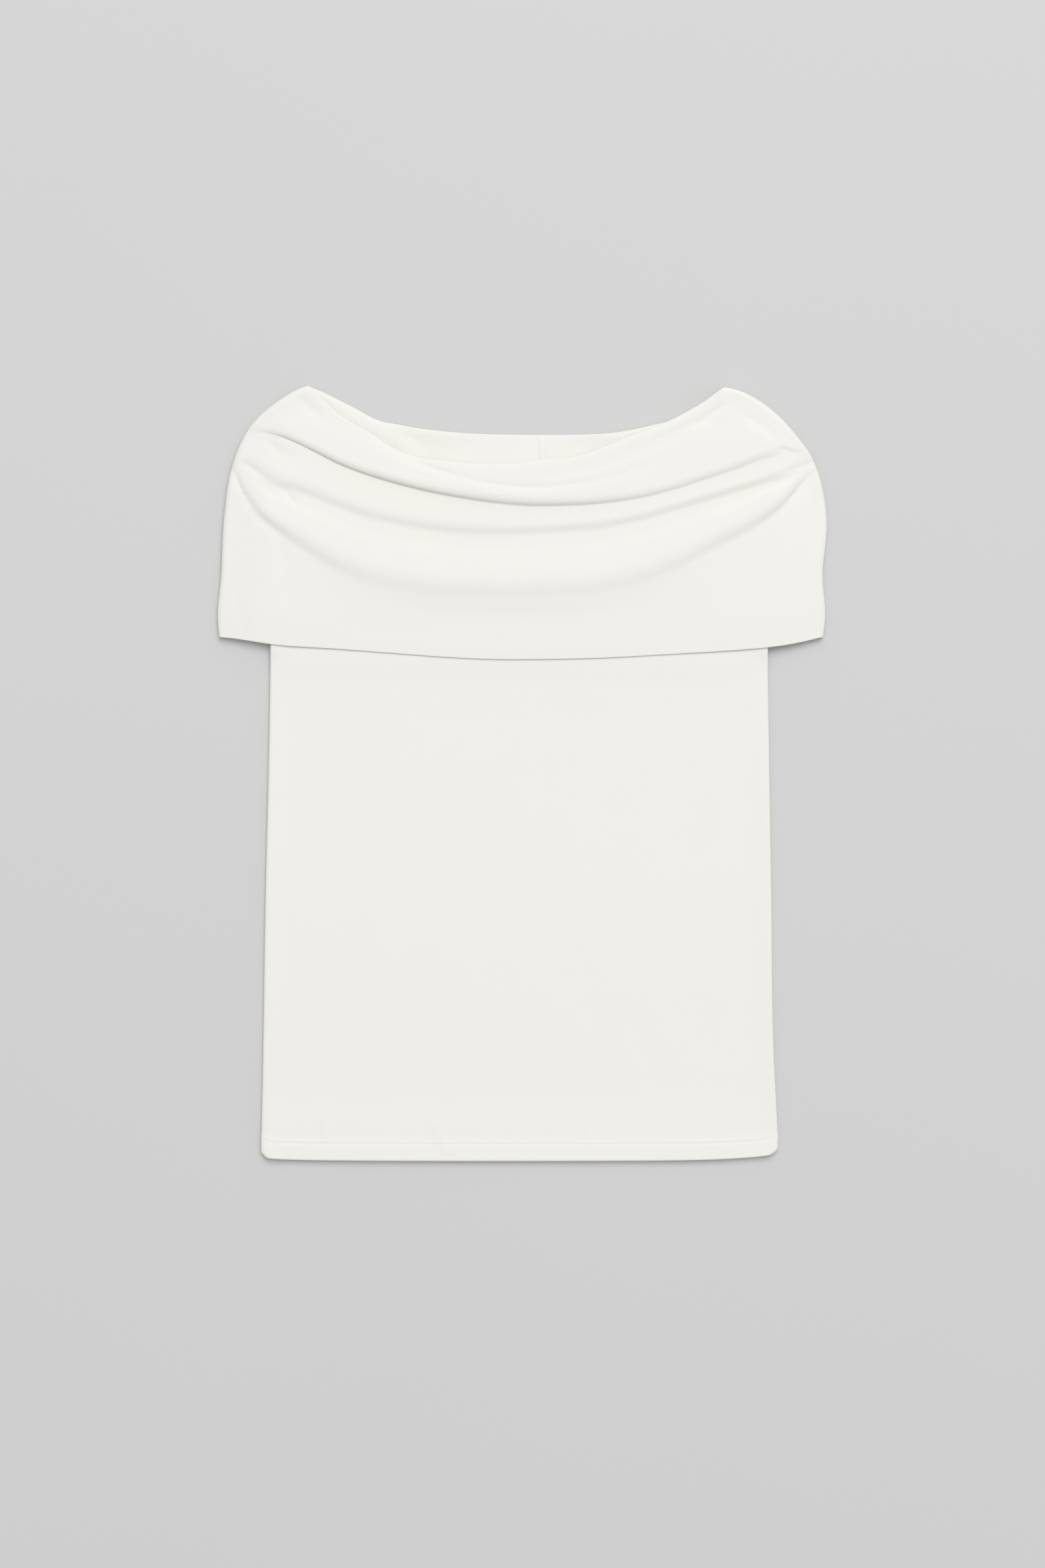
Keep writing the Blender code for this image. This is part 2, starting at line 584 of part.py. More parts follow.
def make_collar():
    rings = collar_rings()
    normals = grid_normals(rings, closed=True)
    half = band_half_thickness(rings)
    collar = wall_mesh("collar", rings + normals * half, rings - normals * half, True, len(rings) - 1)
    collar.data.materials.append(cloth_material("collar jersey", COLLAR_COLOUR))
    return collar


def make_panel(name, guide_points, is_front, colour):
    grid, thickness = panel_grid(guide_points, is_front)
    seamed = np.array([row.seamed for row in PANEL_ROWS])
    normals = grid_normals(grid, closed=False)
    if (normals[len(grid) // 2, PANEL_STATIONS // 2, 2] > 0) != is_front:
        normals = -normals
    upright = (1.0 if is_front else -1.0) * (1.0 - seamed)
    for column, sideways in ((0, -1.0), (-1, 1.0)):
        normals[:, column] = unit(np.column_stack([sideways * seamed, np.zeros_like(seamed), upright]))
    inner = grid - normals * thickness[:, :, None]
    panel = wall_mesh(name, grid, inner, False, 0)
    panel.data.materials.append(cloth_material(name + " jersey", colour))
    return panel


def clear_scene():
    for item in list(bpy.data.objects):
        bpy.data.objects.remove(item, do_unlink=True)


def main():
    clear_scene()
    make_panel("back_panel", back_guide_points, False, BACK_COLOUR)
    make_panel("front_panel", front_guide_points, True, FRONT_COLOUR)
    make_collar()


main()
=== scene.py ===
"""Off-shoulder top with a draped fold-over collar, laid flat on a pale floor and seen from straight above.

Three pieces of soft jersey: a front panel, a back panel and a doubled collar band. X runs across the
garment, Y from the hem to the neck, Z up from the floor. Sizes in the tables are in millimetres.
"""
from collections import namedtuple

import bmesh
import bpy
import numpy as np
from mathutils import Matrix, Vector

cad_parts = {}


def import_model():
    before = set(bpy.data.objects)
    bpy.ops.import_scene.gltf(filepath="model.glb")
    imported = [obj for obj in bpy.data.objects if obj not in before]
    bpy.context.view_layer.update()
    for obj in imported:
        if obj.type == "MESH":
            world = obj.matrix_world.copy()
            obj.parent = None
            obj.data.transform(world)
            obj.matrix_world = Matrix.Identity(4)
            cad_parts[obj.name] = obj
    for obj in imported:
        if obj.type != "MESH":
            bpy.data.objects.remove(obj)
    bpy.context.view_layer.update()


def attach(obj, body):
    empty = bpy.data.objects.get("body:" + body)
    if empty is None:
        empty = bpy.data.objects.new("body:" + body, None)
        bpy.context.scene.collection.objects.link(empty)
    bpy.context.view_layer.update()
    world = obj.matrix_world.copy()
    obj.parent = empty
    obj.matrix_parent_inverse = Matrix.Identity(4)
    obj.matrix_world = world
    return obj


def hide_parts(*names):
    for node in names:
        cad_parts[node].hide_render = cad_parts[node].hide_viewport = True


MM = 0.001

# Cloth
JERSEY_THICK = 1.2
BAND_THICK = 2.4
SEAM_GAP = 0.3
NECK_SEAM_GAP = 0.8
HEM_DEPTH = 13.5
HEM_THICK = 2 * JERSEY_THICK

# Heights of the middle of the band's wall
BACK_OUTER_Z = 1.2
BACK_INNER_Z = 4.4
FRONT_INNER_Z = 7.6

# The band inside the neck: its depths, how far its sides lie inside the outline, and its rings, from
# the seam up to a share of the depth
FRONT_INNER_DEPTH = 17
SIDE_INNER_DEPTH = 21
BACK_INNER_DEPTH = 26
INNER_INSET = 4.6
INNER_RINGS = 8
INNER_LAST_SHARE = 0.2

# How far the neck roll stands out in plan, as a share of its height, the degrees from one of its rings
# to the next, and how much thinner the wall is on its inner side
ROLL_DEPTH = 0.45
ROLL_STEP = 12
ROLL_INNER_THINNING = 0.78
ROLL_THINNING_RINGS = 4

# The wall is thinner on its inner side near the wings' sides, where the folds run together.
SIDE_INNER_THINNING = 0.6
SIDE_THINNING_REACH = 26

# The wall is pressed thinner near its folded lower edge.
EDGE_THINNING = 0.62
EDGE_THINNING_REACH = 30

# Where the neck edge meets the wing, at the two tips
TIP_THINNING = 0.45
TIP_REACH = 45

# How the flattened tube turns at its sides
TURN_WIDTH_OUTER = 3
TURN_WIDTH_INNER = 1.8
TURN_STEPS = (0, 0.03, 0.12, 0.27, 0.47, 0.72, 1)

# Shares of a line's width, from each side: where a move towards the hem is fully there, and how far
# its end on the outline pulls it
MOVE_FADE = 0.07
HOLD_REACH = 0.12

# Points across one layer of the collar between the two side turns, the spacing of its rings, the
# smallest gap between them that counts, and the points of an outline
FRONT_STATIONS = 232
BACK_STATIONS = 44
RING_SPACING = 1.25
SMALLEST_GAP = 0.01
OUTLINE_SAMPLES = 500

# More points on the back layer, on both sides of the seam at the centre back
BACK_SEAM_X = 12.2
BACK_SEAM_STEPS = (-5.2, -3.6, -2.4, -1.5, -0.9, -0.4, 0.1, 0.6, 1.1, 1.7, 2.4, 3.1, 4, 5.2, 7)

# Steps round a folded edge
EDGE_STEPS = 4

# Outline of the collar from above, as x and y from the tip of the neck down the wing to its corner
LEFT_WING = (
    (-159.8, 290.2), (-169.8, 286.2), (-182.5, 278.2), (-193, 270.2), (-204.2, 258.2), (-212.8, 242.2),
    (-217.2, 230.2), (-221.8, 206.8), (-225.2, 154.2), (-227.3, 124.2), (-228.6, 105.2), (-227.8, 101),
    (-225, 98.4))
RIGHT_WING = (
    (150.8, 288.9), (162.2, 286.2), (177.8, 278.2), (188.2, 270.2), (203.2, 254.2), (215.8, 238.2),
    (224.8, 214.2), (228.2, 192), (226.6, 169.2), (225.2, 134), (227.2, 106.2), (226.3, 101.2),
    (222.5, 97.6))

# Lines that run across the front of the collar. Each starts on the left outline at height y_left and
# ends on the right one at y_right, and passes through its points in between, each an x and a y.
Guide = namedtuple("Guide", "name y_left y_right points")
FRONT_GUIDES = [Guide(*row) for row in (
    ("neck edge", 290.2, 288.9, (
        (-145, 276), (-132, 264.5), (-118.3, 256.8), (-103.8, 247.3), (-90.8, 239.8), (-77, 235),
        (-62, 233.2), (-46, 231.5), (-25, 230.3), (-2, 231), (13, 233.4), (35, 235.3), (46, 238),
        (62.3, 243.8), (80.8, 251.8), (93.3, 256.3), (115.3, 265.4), (133, 276.5))),
    ("upper crease", 284, 281, (
        (-121, 248), (-82.1, 226.5), (-43.3, 219.4), (-4.5, 214.2), (34.3, 217.6), (73.2, 228.5),
        (112, 246))),
    ("first fold", 257.2, 241.2, (
        (-192, 256), (-180.3, 252.8), (-168, 247.5), (-152.3, 239.8), (-138, 232.5), (-116.8, 224.3),
        (-91.8, 216.8), (-66.8, 211), (-41.8, 206.8), (-16.8, 203.7), (8.3, 202), (33.3, 202.2),
        (58.3, 203.6), (83.3, 206.8), (108.3, 212.5), (133.3, 220.4), (158.3, 228.8), (183.3, 238),
        (198, 241))),
    ("second fold", 234.2, 231.2, (
        (-205, 230), (-190.8, 219.6), (-166.8, 212.9), (-141.8, 203.3), (-116.8, 194.3), (-91.8, 188.3),
        (-66.8, 183.8), (-41.8, 181.3), (-16.8, 180.5), (8.3, 181.3), (33.3, 183.3), (58.3, 186.3),
        (83.3, 191.8), (108.3, 199.3), (133.3, 206.8), (158.3, 214.3), (183.3, 221.8), (205.3, 226.8))),
    ("third fold", 227.2, 227.2, (
        (-213, 218.4), (-208.3, 208.2), (-201.3, 199.8), (-190.3, 191.2), (-179.3, 182.8),
        (-154.3, 164.8), (-129.3, 150.4), (-104.3, 142.2), (-79.3, 137.8), (-54.3, 134), (-29.3, 133.3),
        (-4.3, 132.6), (20.8, 133.2), (45.8, 134.2), (70.8, 138.6), (95.8, 146), (120.8, 157.6),
        (145.8, 171.8), (170.8, 185), (192.8, 201.3), (208.3, 217))),
    ("lower edge", 100.6, 100.6, (
        (-214.3, 99.6), (-203.3, 98.6), (-187, 96.6), (-141.8, 93.6), (-91.8, 89.8), (-54.3, 86.8),
        (-16.8, 85), (8.3, 85), (58.3, 86.3), (108.3, 89.3), (158.3, 92.3), (183.3, 94.3), (203.8, 96.6),
        (215, 98.3))))]

# The neck edge carried round the back, as it shows above the front, as x and y
BACK_NECK = (
    (-149.3, 286.3), (-141.3, 282.3), (-134.8, 278.3), (-127.8, 274.3), (-120.8, 270.3), (-112.8, 266),
    (-107, 263.2), (-96.8, 261.3), (-81.8, 258.3), (-66.8, 256.3), (-51.8, 254.8), (-36.8, 253.8),
    (-21.8, 253.3), (15.8, 252.8), (53.3, 253.3), (68.3, 254.3), (83.3, 256.8), (98.3, 260.3),
    (113.3, 264.3), (123.3, 270.3), (129.8, 274.3), (135.8, 278.3), (141.3, 282.3), (145.8, 286.3))

# The other lines carried round the back: how far each sags below its ends, and how square its curve is
BackGuide = namedtuple("BackGuide", "name sag squareness")
BACK_GUIDES = [BackGuide(*row) for row in (
    ("upper crease", 45, 2.6), ("first fold", 30, 2.2), ("second fold", 36, 2.1),
    ("third fold", 62, 2), ("lower edge", 11.5, 2))]

# Section of the collar from the neck roll to its lower edge. A row lies on a guide line, or between
# two of them. On the front it is moved towards the hem by move_left, move_middle and move_right, and
# at the sides and on the back by side_move. z_a to z_g are the heights of the wall's middle from the
# left side to the right side, which is as high as the left one.
Row = namedtuple("Row", "name guide move_left move_middle move_right side_move "
                        "z_a z_b z_c z_d z_e z_f z_g")
COLLAR_ROWS = [Row(*row, row[6]) for row in (
    ("crest", 0, 0, 0, 0, 0, 10.3, 10.3, 11, 12, 10.8, 10.3),
    ("above crease", 1, -3, -3, -3, -1.5, 10.3, 10.8, 12, 13, 11.5, 10.7),
    ("crease", 1, 0, 0, 0, 0, 10.2, 11, 12.6, 13.4, 12, 10.9),
    ("below crease", 1.3, 0, 0, 0, 0, 9.6, 11.5, 13, 13.9, 12.4, 11.4),
    ("roll top", 2, -5.7, -5.6, -5.4, -4.5, 8, 11.9, 13.6, 14.5, 12.8, 11.8),
    ("roll front", 2, -2.5, -0.9, -1.3, -1.8, 7.8, 11.9, 13.6, 14.1, 12.6, 11.7),
    ("roll nose", 2, 0.1, 0.9, 0.6, 0, 7.5, 11, 12.3, 13.2, 11.9, 11),
    ("roll tuck", 2, 0.2, 2.4, 2.3, 1.6, 7.2, 9.6, 10.1, 10.9, 10.4, 10.1),
    ("first foot", 2, 2.7, 5.4, 4.6, 3.6, 7, 9.5, 9.8, 10.5, 10.2, 9.9),
    ("second rise", 2.5, 1, 1.5, 3, 0, 6.8, 9.7, 10.1, 10.4, 10.4, 10.2),
    ("second lip", 3, -1.7, -2.1, 0.5, -3, 6.6, 10, 10.3, 10.4, 10.6, 10.7),
    ("second fold", 3, 3, 2.4, 5, 0, 6.4, 8.3, 8.8, 8.9, 8.9, 8.4),
    ("third rise", 3.15, 2.8, 2, 4, 0, 6.3, 8.4, 8.7, 8.7, 8.8, 8.3),
    ("third crown", 3.45, 3, 3, 3.4, 0, 6.2, 10, 10.3, 10.3, 10.4, 10.3),
    ("third lip", 3.8, 4, 1.9, 3, 0, 6, 10.4, 10.8, 11, 10.9, 10.5),
    ("third fold", 4, 4.2, 2.3, 3.2, 0, 5.8, 8, 8.6, 9, 8.6, 8),
    ("third foot", 4.08, 4.6, 4.3, 3.6, 0, 5.7, 7.9, 8, 8.1, 8, 7.9),
    ("upper apron", 4.3, 0, 0, 0, 0, 5.5, 7.9, 7.4, 7.2, 7.4, 7.9),
    ("apron", 4.65, 0, 0, 0, 0, 5.2, 7.55, 6.75, 6.75, 6.75, 7.55),
    ("above edge", 4.9, 0.4, 0, 0.4, 0, 4.9, 7.4, 6.85, 6.85, 6.85, 7.4),
    ("lower edge", 5, 0.7, 0.1, 0.7, -0.4, 4.8, 7.15, 6.6, 6.6, 6.6, 7.15))]

# Shares of a row's width where its heights and its moves hold
HEIGHT_STATIONS = (0, 0.08, 0.27, 0.5, 0.73, 0.92, 1)
MOVE_STATIONS = (0.25, 0.5, 0.78)

# Outline of the body below the collar
BodyRow = namedtuple("BodyRow", "y x_left x_right")
BODY_SIDES = [BodyRow(*row) for row in (
    (-291, -190.8, 186), (-287, -194.9, 190.8), (-281, -195.7, 191.8), (-268, -195.4, 191.3),
    (-200, -194.1, 188.3), (-100, -192.6, 187), (0, -190.2, 185.4), (94, -188.6, 184.1),
    (168, -187.6, 183.2))]

# Hem line: its height on the garment, how far it rises at each side, and where the rise dies out
HEM_Y = -290.2
HEM_RISE_LEFT = 1.4
HEM_RISE_RIGHT = 4
HEM_RISE_POWER = 6
HEM_RISE_TOP_Y = -200
HEM_RISE_FADE = 80

# Armhole scoops: where they start, the shares of the neck seam's width between which a panel is sewn
# on, and how fast they draw in
UNDERARM_Y = 168
TOP_FRACTION_LEFT = 0.13
TOP_FRACTION_RIGHT = 0.87
SCOOP_POWER = 0.55

# Rows of a body panel from the hem up: the height on the garment, and above the underarm the share of
# the way to the neck seam. Then the level of the panel's underside for the back and for the front, how
# thick the wall is, how far its sides are turned towards the other panel's at the side seam, how high
# the two seamed panels stand there, and the number of rows from this one to the next.
PanelRow = namedtuple("PanelRow", "name y share back_level front_level thick seamed height steps")
PANEL_ROWS = [PanelRow(*row) for row in (
    ("hem fold", -290.1, 0, 0, 2.7, HEM_THICK, 1, 5.6, 4),
    ("hem", -287.2, 0, 0, 2.7, HEM_THICK, 1, 5.6, 7),
    ("hem middle", -280.4, 0, 0, 2.7, HEM_THICK, 1, 5.6, 5),
    ("lower stitches", -278.1, 0, 0.15, 2.7, HEM_THICK - 0.2, 1, 5.3, 4),
    ("hem top", HEM_Y + HEM_DEPTH, 0, 0, 2.7, HEM_THICK, 1, 5.4, 4),
    ("upper stitches", -274.9, 0, 0.15, 3.5, JERSEY_THICK, 1, 5.1, 3),
    ("above hem", -272.4, 0, 0, 3.3, JERSEY_THICK, 1, 5, 14),
    ("lower body", -240, 0, 0, 1.9, JERSEY_THICK, 1, 4.2, 16),
    ("low waist", -200, 0, 0, 1.7, JERSEY_THICK, 1, 4.2, 28),
    ("waist", -120, 0, 0, 1.8, JERSEY_THICK, 1, 4.2, 28),
    ("high waist", -40, 0, 0, 1.7, JERSEY_THICK, 1, 4.2, 28),
    ("chest", 40, 0, 0, 2.3, JERSEY_THICK, 1, 4.2, 12),
    ("below collar", 68, 0, 0, 3.1, JERSEY_THICK, 1, 4.2, 5),
    ("under edge", 84, 0, 1.4, 4.3, JERSEY_THICK, 1, 3.3, 4),
    ("over band", 93, 0, 2.7, 4.4, JERSEY_THICK, 1, 3.3, 6),
    ("under collar", 125, 0, 2.7, 4.4, JERSEY_THICK, 1, 3.3, 4),
    ("seam end", 142, 0, 2.7, 4.9, JERSEY_THICK, 0.6, 3.3, 3),
    ("under arm", 156, 0, 2.7, 5.1, JERSEY_THICK, 0.25, 3.3, 3),
    ("low scoop", UNDERARM_Y, 0, 2.7, 4.8, JERSEY_THICK, 0, 3.3, 3),
    ("scoop", UNDERARM_Y, 0.15, 2.7, 4.7, JERSEY_THICK, 0, 3.3, 4),
    ("middle scoop", UNDERARM_Y, 0.45, 2.7, 4.7, JERSEY_THICK, 0, 3.3, 4),
    ("high scoop", UNDERARM_Y, 0.75, 3, 5.2, JERSEY_THICK, 0, 3.3, 4),
    ("neck seam", UNDERARM_Y, 1, 3.8, 7, JERSEY_THICK, 0, 3.3, 0))]

# How many of these rows lie round the hem, and the points across each panel
HEM_ROWS = 8
FRONT_PANEL_STATIONS = 150
BACK_PANEL_STATIONS = 70

# Side seams: the two panels meet at half height, turned towards each other
SIDE_TURN_SHARE = 0.58
SIDE_SOFTNESS = 16

# The doubled hem grows to its full thickness between these distances, in widths of the side turn.
DOUBLED_START = 1.5
DOUBLED_END = 3.5

# The panels' walls get their thickness straight up between these distances, in the same widths.
FLAT_START = 1.2
FLAT_END = 3

# How far a crease is worked out, in its widths, and the spacing and least number of points along it
CREASE_REACH = 3
CREASE_SPACING = 2
CREASE_LEAST_POINTS = 20

# Creases placed one by one. A crease runs through its marks, each an x, a y and how strong it is there.
# It lifts the cloth by its height, or presses it down if that is negative, and dies out within
# above on the side of the neck and below on the side of the hem.
Crease = namedtuple("Crease", "name height above below marks")
COLLAR_CREASES = [Crease(*row) for row in (
    ("second neck crease", -0.9, 2.4, 3, (
        (-79, 232, 0.2), (-69.3, 227.3, 0.5), (-54.3, 222.3, 0.8), (-38.3, 218.3, 0.8),
        (-22.3, 215.3, 1), (0.8, 212.8, 1), (19.3, 212.8, 1), (37.8, 214.8, 0.9), (62.3, 220, 0.7),
        (80.8, 225.3, 0.6), (96.8, 229.8, 0.4), (117.8, 232.8, 0))),
    ("left neck line", -0.45, 1.7, 2, (
        (-132, 263, 0), (-118.3, 254.5, 0.8), (-103.8, 245, 1), (-90.8, 237.5, 1), (-79.3, 231.6, 0.5))),
    ("left shoulder valley", -1, 3.6, 4.5, (
        (-168.3, 283.8, 0), (-160.3, 273.5, 1), (-152.3, 266.3, 0.6), (-138, 257, 0))),
    ("start of the second fold", -0.7, 2.6, 2.6, (
        (-208.5, 232.5, 0.2), (-201.3, 227.3, 1), (-190.8, 220.8, 0.8), (-176, 215.5, 0))),
    ("start of the third fold", -0.8, 2.6, 2.8, (
        (-216, 228.5, 0.4), (-213.8, 220.8, 1), (-208.3, 210.3, 1), (-201.3, 201.3, 0.6),
        (-190, 192.5, 0))),
    ("end of the second fold", -0.9, 2.8, 2.8, (
        (160, 214.9, 0), (183.3, 221.8, 0.4), (196, 225, 0.7), (208, 229, 1), (216, 231.4, 0.8))),
    ("end of the third fold", -0.6, 3, 3, (
        (182, 192.5, 0), (192.8, 201.3, 0.6), (202.3, 209.8, 1), (210.5, 220.5, 1), (216, 229.5, 0.5))),
    ("left dent", -1, 3.5, 3.5, ((-190, 251.5, 0.2), (-186, 243, 1), (-176, 237, 0.7), (-163, 234, 0))),
    ("branch of the second fold", -0.6, 2.6, 2.6, (
        (-186, 217.5, 0), (-178, 210.5, 0.8), (-171.5, 203, 1), (-167, 196, 0))),
    ("left upright dent", -0.5, 4.5, 4.5, (
        (-182, 184, 0), (-179.5, 167, 0.9), (-177, 142, 0.8), (-176, 118, 0))),
    ("left corner", -0.35, 4.5, 4.5, ((-219, 148, 0), (-213.5, 128, 0.8), (-208, 106, 1))),
    ("right shoulder dent", -0.85, 3, 3, ((124, 257, 0), (135, 262.5, 1), (145, 270, 0.9), (155, 275, 0))),
    ("right shoulder line", -0.6, 2.4, 2.4, ((140, 257.5, 0), (150, 259.3, 1), (165, 261, 0))),
    ("right shoulder slope", -0.9, 3.6, 3.6, (
        (160, 270, 0), (171, 264.5, 0.8), (181, 256.5, 1), (189, 247, 0))),
    ("hook of the first fold", -0.8, 1.6, 2.2, (
        (188, 240.2, 0.2), (196, 241.6, 1), (201, 240, 0.9), (205, 236.5, 0))),
    ("right upright shade", -0.55, 4.5, 4.5, (
        (214, 222, 0), (218, 204, 1), (219.5, 178, 0.7), (218, 150, 0))))]
BAND_CREASES = [Crease(*row) for row in (
    ("left band swell", 1.2, 6, 4, (
        (-151, 282.5, 0), (-141, 276.5, 0.6), (-128, 266.8, 1), (-114, 259, 1), (-100, 250.5, 1),
        (-88, 243.5, 0.8), (-80, 239, 0.4), (-70, 237.5, 0))),
    ("left band ridge", 0.6, 3.2, 2.2, (
        (-110, 262.5, 0.2), (-98, 252, 1), (-88, 242.5, 1), (-79, 235, 0.7))),
    ("left band hollow", -0.7, 6, 6, ((-84, 258, 0), (-79, 249, 0.8), (-73, 240, 1), (-66, 232, 0.8))),
    ("small band crease", -0.5, 3, 3, ((-34, 252, 0), (-39, 248, 1), (-47, 240, 0.4), (-52, 234, 0))),
    ("left band fall", 1.3, 2.5, 9, (
        (-112, 266.5, 0), (-98, 262.5, 0.5), (-84, 259.5, 1), (-64, 256.5, 1), (-46, 255, 0.3),
        (-30, 254, 0))),
    ("right band fall", 1.5, 2.5, 8, (
        (30, 253.6, 0), (50, 254, 0.5), (70, 255.6, 0.9), (88, 259, 1), (104, 263, 0.8), (118, 268, 0))),
    ("centre back seam", -0.5, 1.6, 1.6, (
        (12, 251.5, 0), (12.2, 246, 1), (12, 238, 0.9), (11.8, 230, 0.6))),
    ("centre back allowance", 0.75, 1.8, 2.8, (
        (15.4, 251.5, 0), (15.6, 246, 1), (15.4, 237, 0.9), (15.2, 230, 0.4))),
    ("right band hollow", -0.7, 5, 5, (
        (44, 239, 0), (62, 246.5, 0.7), (80, 254, 1), (95, 258.5, 0.7), (108, 262, 0))))]
BODY_CREASES = [Crease(*row) for row in (
    ("hem pucker under the left side", 0.35, 3.5, 3.5, (
        (-158, -246, 0), (-152, -256, 0.8), (-148, -268, 1), (-146, -280, 0))),
    ("hem pucker left of the middle", 0.55, 3.6, 2, (
        (-72, -252, 0), (-66, -265, 0.8), (-60.5, -276, 1), (-56, -284, 0.7), (-53, -288, 0))),
    ("hem pucker right of the middle", 0.4, 3.4, 2, (
        (44, -258, 0), (49, -268, 0.7), (52, -278, 1), (58, -287, 0))),
    ("hem pucker near the right side", -0.35, 4, 4, (
        (166, -238, 0), (160, -252, 1), (157, -266, 0.8), (157, -279, 0))),
    ("long shade on the left", -0.5, 14, 18, (
        (-130, 20, 0), (-122, -60, 0.7), (-128, -150, 1), (-140, -230, 0))),
    ("long shade on the right", -0.4, 16, 16, (
        (120, 40, 0), (128, -50, 1), (118, -160, 0.6), (122, -220, 0))))]

# The two rows of stitches round the hem: their height above its bottom edge, how far a stitch stands
# out of the cloth, how long it is, how far it is turned from the line of the hem, and how steeply it
# drops on the front, over the step of the hem
StitchRow = namedtuple("StitchRow", "name above_hem proud length turn drop")
STITCH_ROWS = [StitchRow(*row) for row in (
    ("upper", 15, 0.15, 1.8, 1.35, 0.2),
    ("lower", 12.2, 0.02, 1.5, 0.16, 0))]
STITCH_PITCH = 2.35
STITCH_FREE_SIDE = 3

# Thread: the ends of a stitch dip beyond this share of its length from its middle
THREAD_WIDTH = 0.5
THREAD_SEGMENTS = 8
THREAD_FLATNESS = 0.75
THREAD_DIP = 0.14
THREAD_MIDDLE_SHARE = 0.35
THREAD_TWIST = 0.6
THREAD_DARK = (0.85, 0.84, 0.80)
THREAD_LIGHT = (0.92, 0.91, 0.88)

# Jersey
JERSEY_COLOUR = (0.82, 0.81, 0.765)
JERSEY_DARKEST = 0.985
WALE_WIDTH = 0.72
COURSE_HEIGHT = 0.55
HEM_BRIGHTNESS = 1.012

# Camera, floor and light, in metres
CAMERA_PLACE = (0.00025, -0.00875, 2.4)
PICTURE_HEIGHT = 1.176
SENSOR = 36
FLOOR_SIZE = 64
FLOOR_Z = -0.0003
FLOOR_DARK = (0.60, 0.60, 0.60)
FLOOR_LIGHT = (0.61, 0.61, 0.61)
LIGHT_PLACE = (0.9, 3.1, 5.4)
LIGHT_SIZE = 4.6
LIGHT_POWER = 246
WORLD_COLOUR = (1, 1, 1)
WORLD_STRENGTH = 0.62


def blend(start, stop, bend_start, bend_stop, share):
    """The cubic curve from start to stop that leaves and arrives with the given bends."""
    near = (1 + 2 * share) * (1 - share) ** 2 * start + share * (1 - share) ** 2 * bend_start
    far = share ** 2 * (3 - 2 * share) * stop + share ** 2 * (share - 1) * bend_stop
    return near + far


def sloped_curve(xs, ys, slopes, x):
    """The curve through the points (xs, ys) that has these slopes at them, read at x."""
    x = np.clip(x, xs[0], xs[-1])
    index = np.clip(np.searchsorted(xs, x, side="right") - 1, 0, len(xs) - 2)
    width = xs[index + 1] - xs[index]
    share = (x - xs[index]) / width
    return blend(ys[index], ys[index + 1], width * slopes[index], width * slopes[index + 1], share)


def smooth_curve(xs, ys, x):
    """A smooth curve through the points (xs, ys), read at x."""
    xs = np.asarray(xs, float)
    ys = np.asarray(ys, float)
    return sloped_curve(xs, ys, np.gradient(ys, xs), x)


def steady_curve(xs, ys, x):
    """A smooth curve through the points that never overshoots them and is level at both ends."""
    xs = np.asarray(xs, float)
    ys = np.asarray(ys, float)
    steps = np.diff(ys) / np.diff(xs)
    same_way = steps[:-1] * steps[1:] > 0
    sums = np.where(same_way, steps[:-1] + steps[1:], 1.0)
    slopes = np.zeros(len(xs))
    slopes[1:-1] = np.where(same_way, 2 * steps[:-1] * steps[1:] / sums, 0.0)
    return sloped_curve(xs, ys, slopes, x)


def ease(s):
    s = np.clip(s, 0.0, 1.0)
    return s * s * (3 - 2 * s)


def unit(vectors):
    return vectors / np.linalg.norm(vectors, axis=-1, keepdims=True)


def running_total(steps):
    return np.concatenate(([0.0], np.cumsum(steps)))


def length_at_corners(corners):
    return running_total(np.hypot(*np.diff(corners[:, :2], axis=0).T))


def line_through(corners, along, fine):
    """The smooth line through corners that lie at the lengths along it, at the lengths fine."""
    return np.column_stack([smooth_curve(along, corners[:, axis], fine) for axis in (0, 1)])


class Outline:
    """One wing's outline as a smooth line, measured by its length from the tip."""

    def __init__(self, sides):
        corners = np.array(sides)
        along = length_at_corners(corners)
        self.length = np.linspace(0.0, along[-1], OUTLINE_SAMPLES)
        self.points = line_through(corners, along, self.length)
        direction = unit(np.gradient(self.points, axis=0))
        self.inward = np.column_stack([-direction[:, 1], direction[:, 0]])
        if self.inward[OUTLINE_SAMPLES // 2, 0] * corners[0, 0] > 0:
            self.inward = -self.inward

    def length_at(self, y):
        return float(np.interp(-y, -self.points[:, 1], self.length))

    def point(self, length, inset):
        x, y, inward_x, inward_y = (np.interp(length, self.length, column)
                                    for column in (*self.points.T, *self.inward.T))
        return np.array([x + inward_x * inset, y + inward_y * inset])


LEFT = Outline(LEFT_WING)
RIGHT = Outline(RIGHT_WING)


def guide_ends(guide):
    sides = ((LEFT, guide.y_left), (RIGHT, guide.y_right))
    return [outline.point(outline.length_at(y), 0.0) for outline, y in sides]


def through_points(ends, points, fractions):
    """A line from one end through the points to the other, at fractions of its width."""
    left, right = ends
    xs, ys = np.vstack([left, points, right]).T
    x = left[0] + (right[0] - left[0]) * fractions
    return np.column_stack([x, smooth_curve(xs, ys, x)])


def front_guide(number, fractions):
    guide = FRONT_GUIDES[number]
    return through_points(guide_ends(guide), guide.points, fractions)


def back_guide(number, fractions):
    """Points of the same line on the back: below the neck edge, a plain sagging curve."""
    if number == 0:
        return through_points(guide_ends(FRONT_GUIDES[0]), BACK_NECK, fractions)
    left, right = guide_ends(FRONT_GUIDES[number])
    line = BACK_GUIDES[number - 1]
    chord = left + (right - left) * fractions[:, None]
    sag = line.sag * (1 - np.abs(2 * fractions - 1) ** line.squareness)
    return chord - np.column_stack([np.zeros_like(sag), sag])


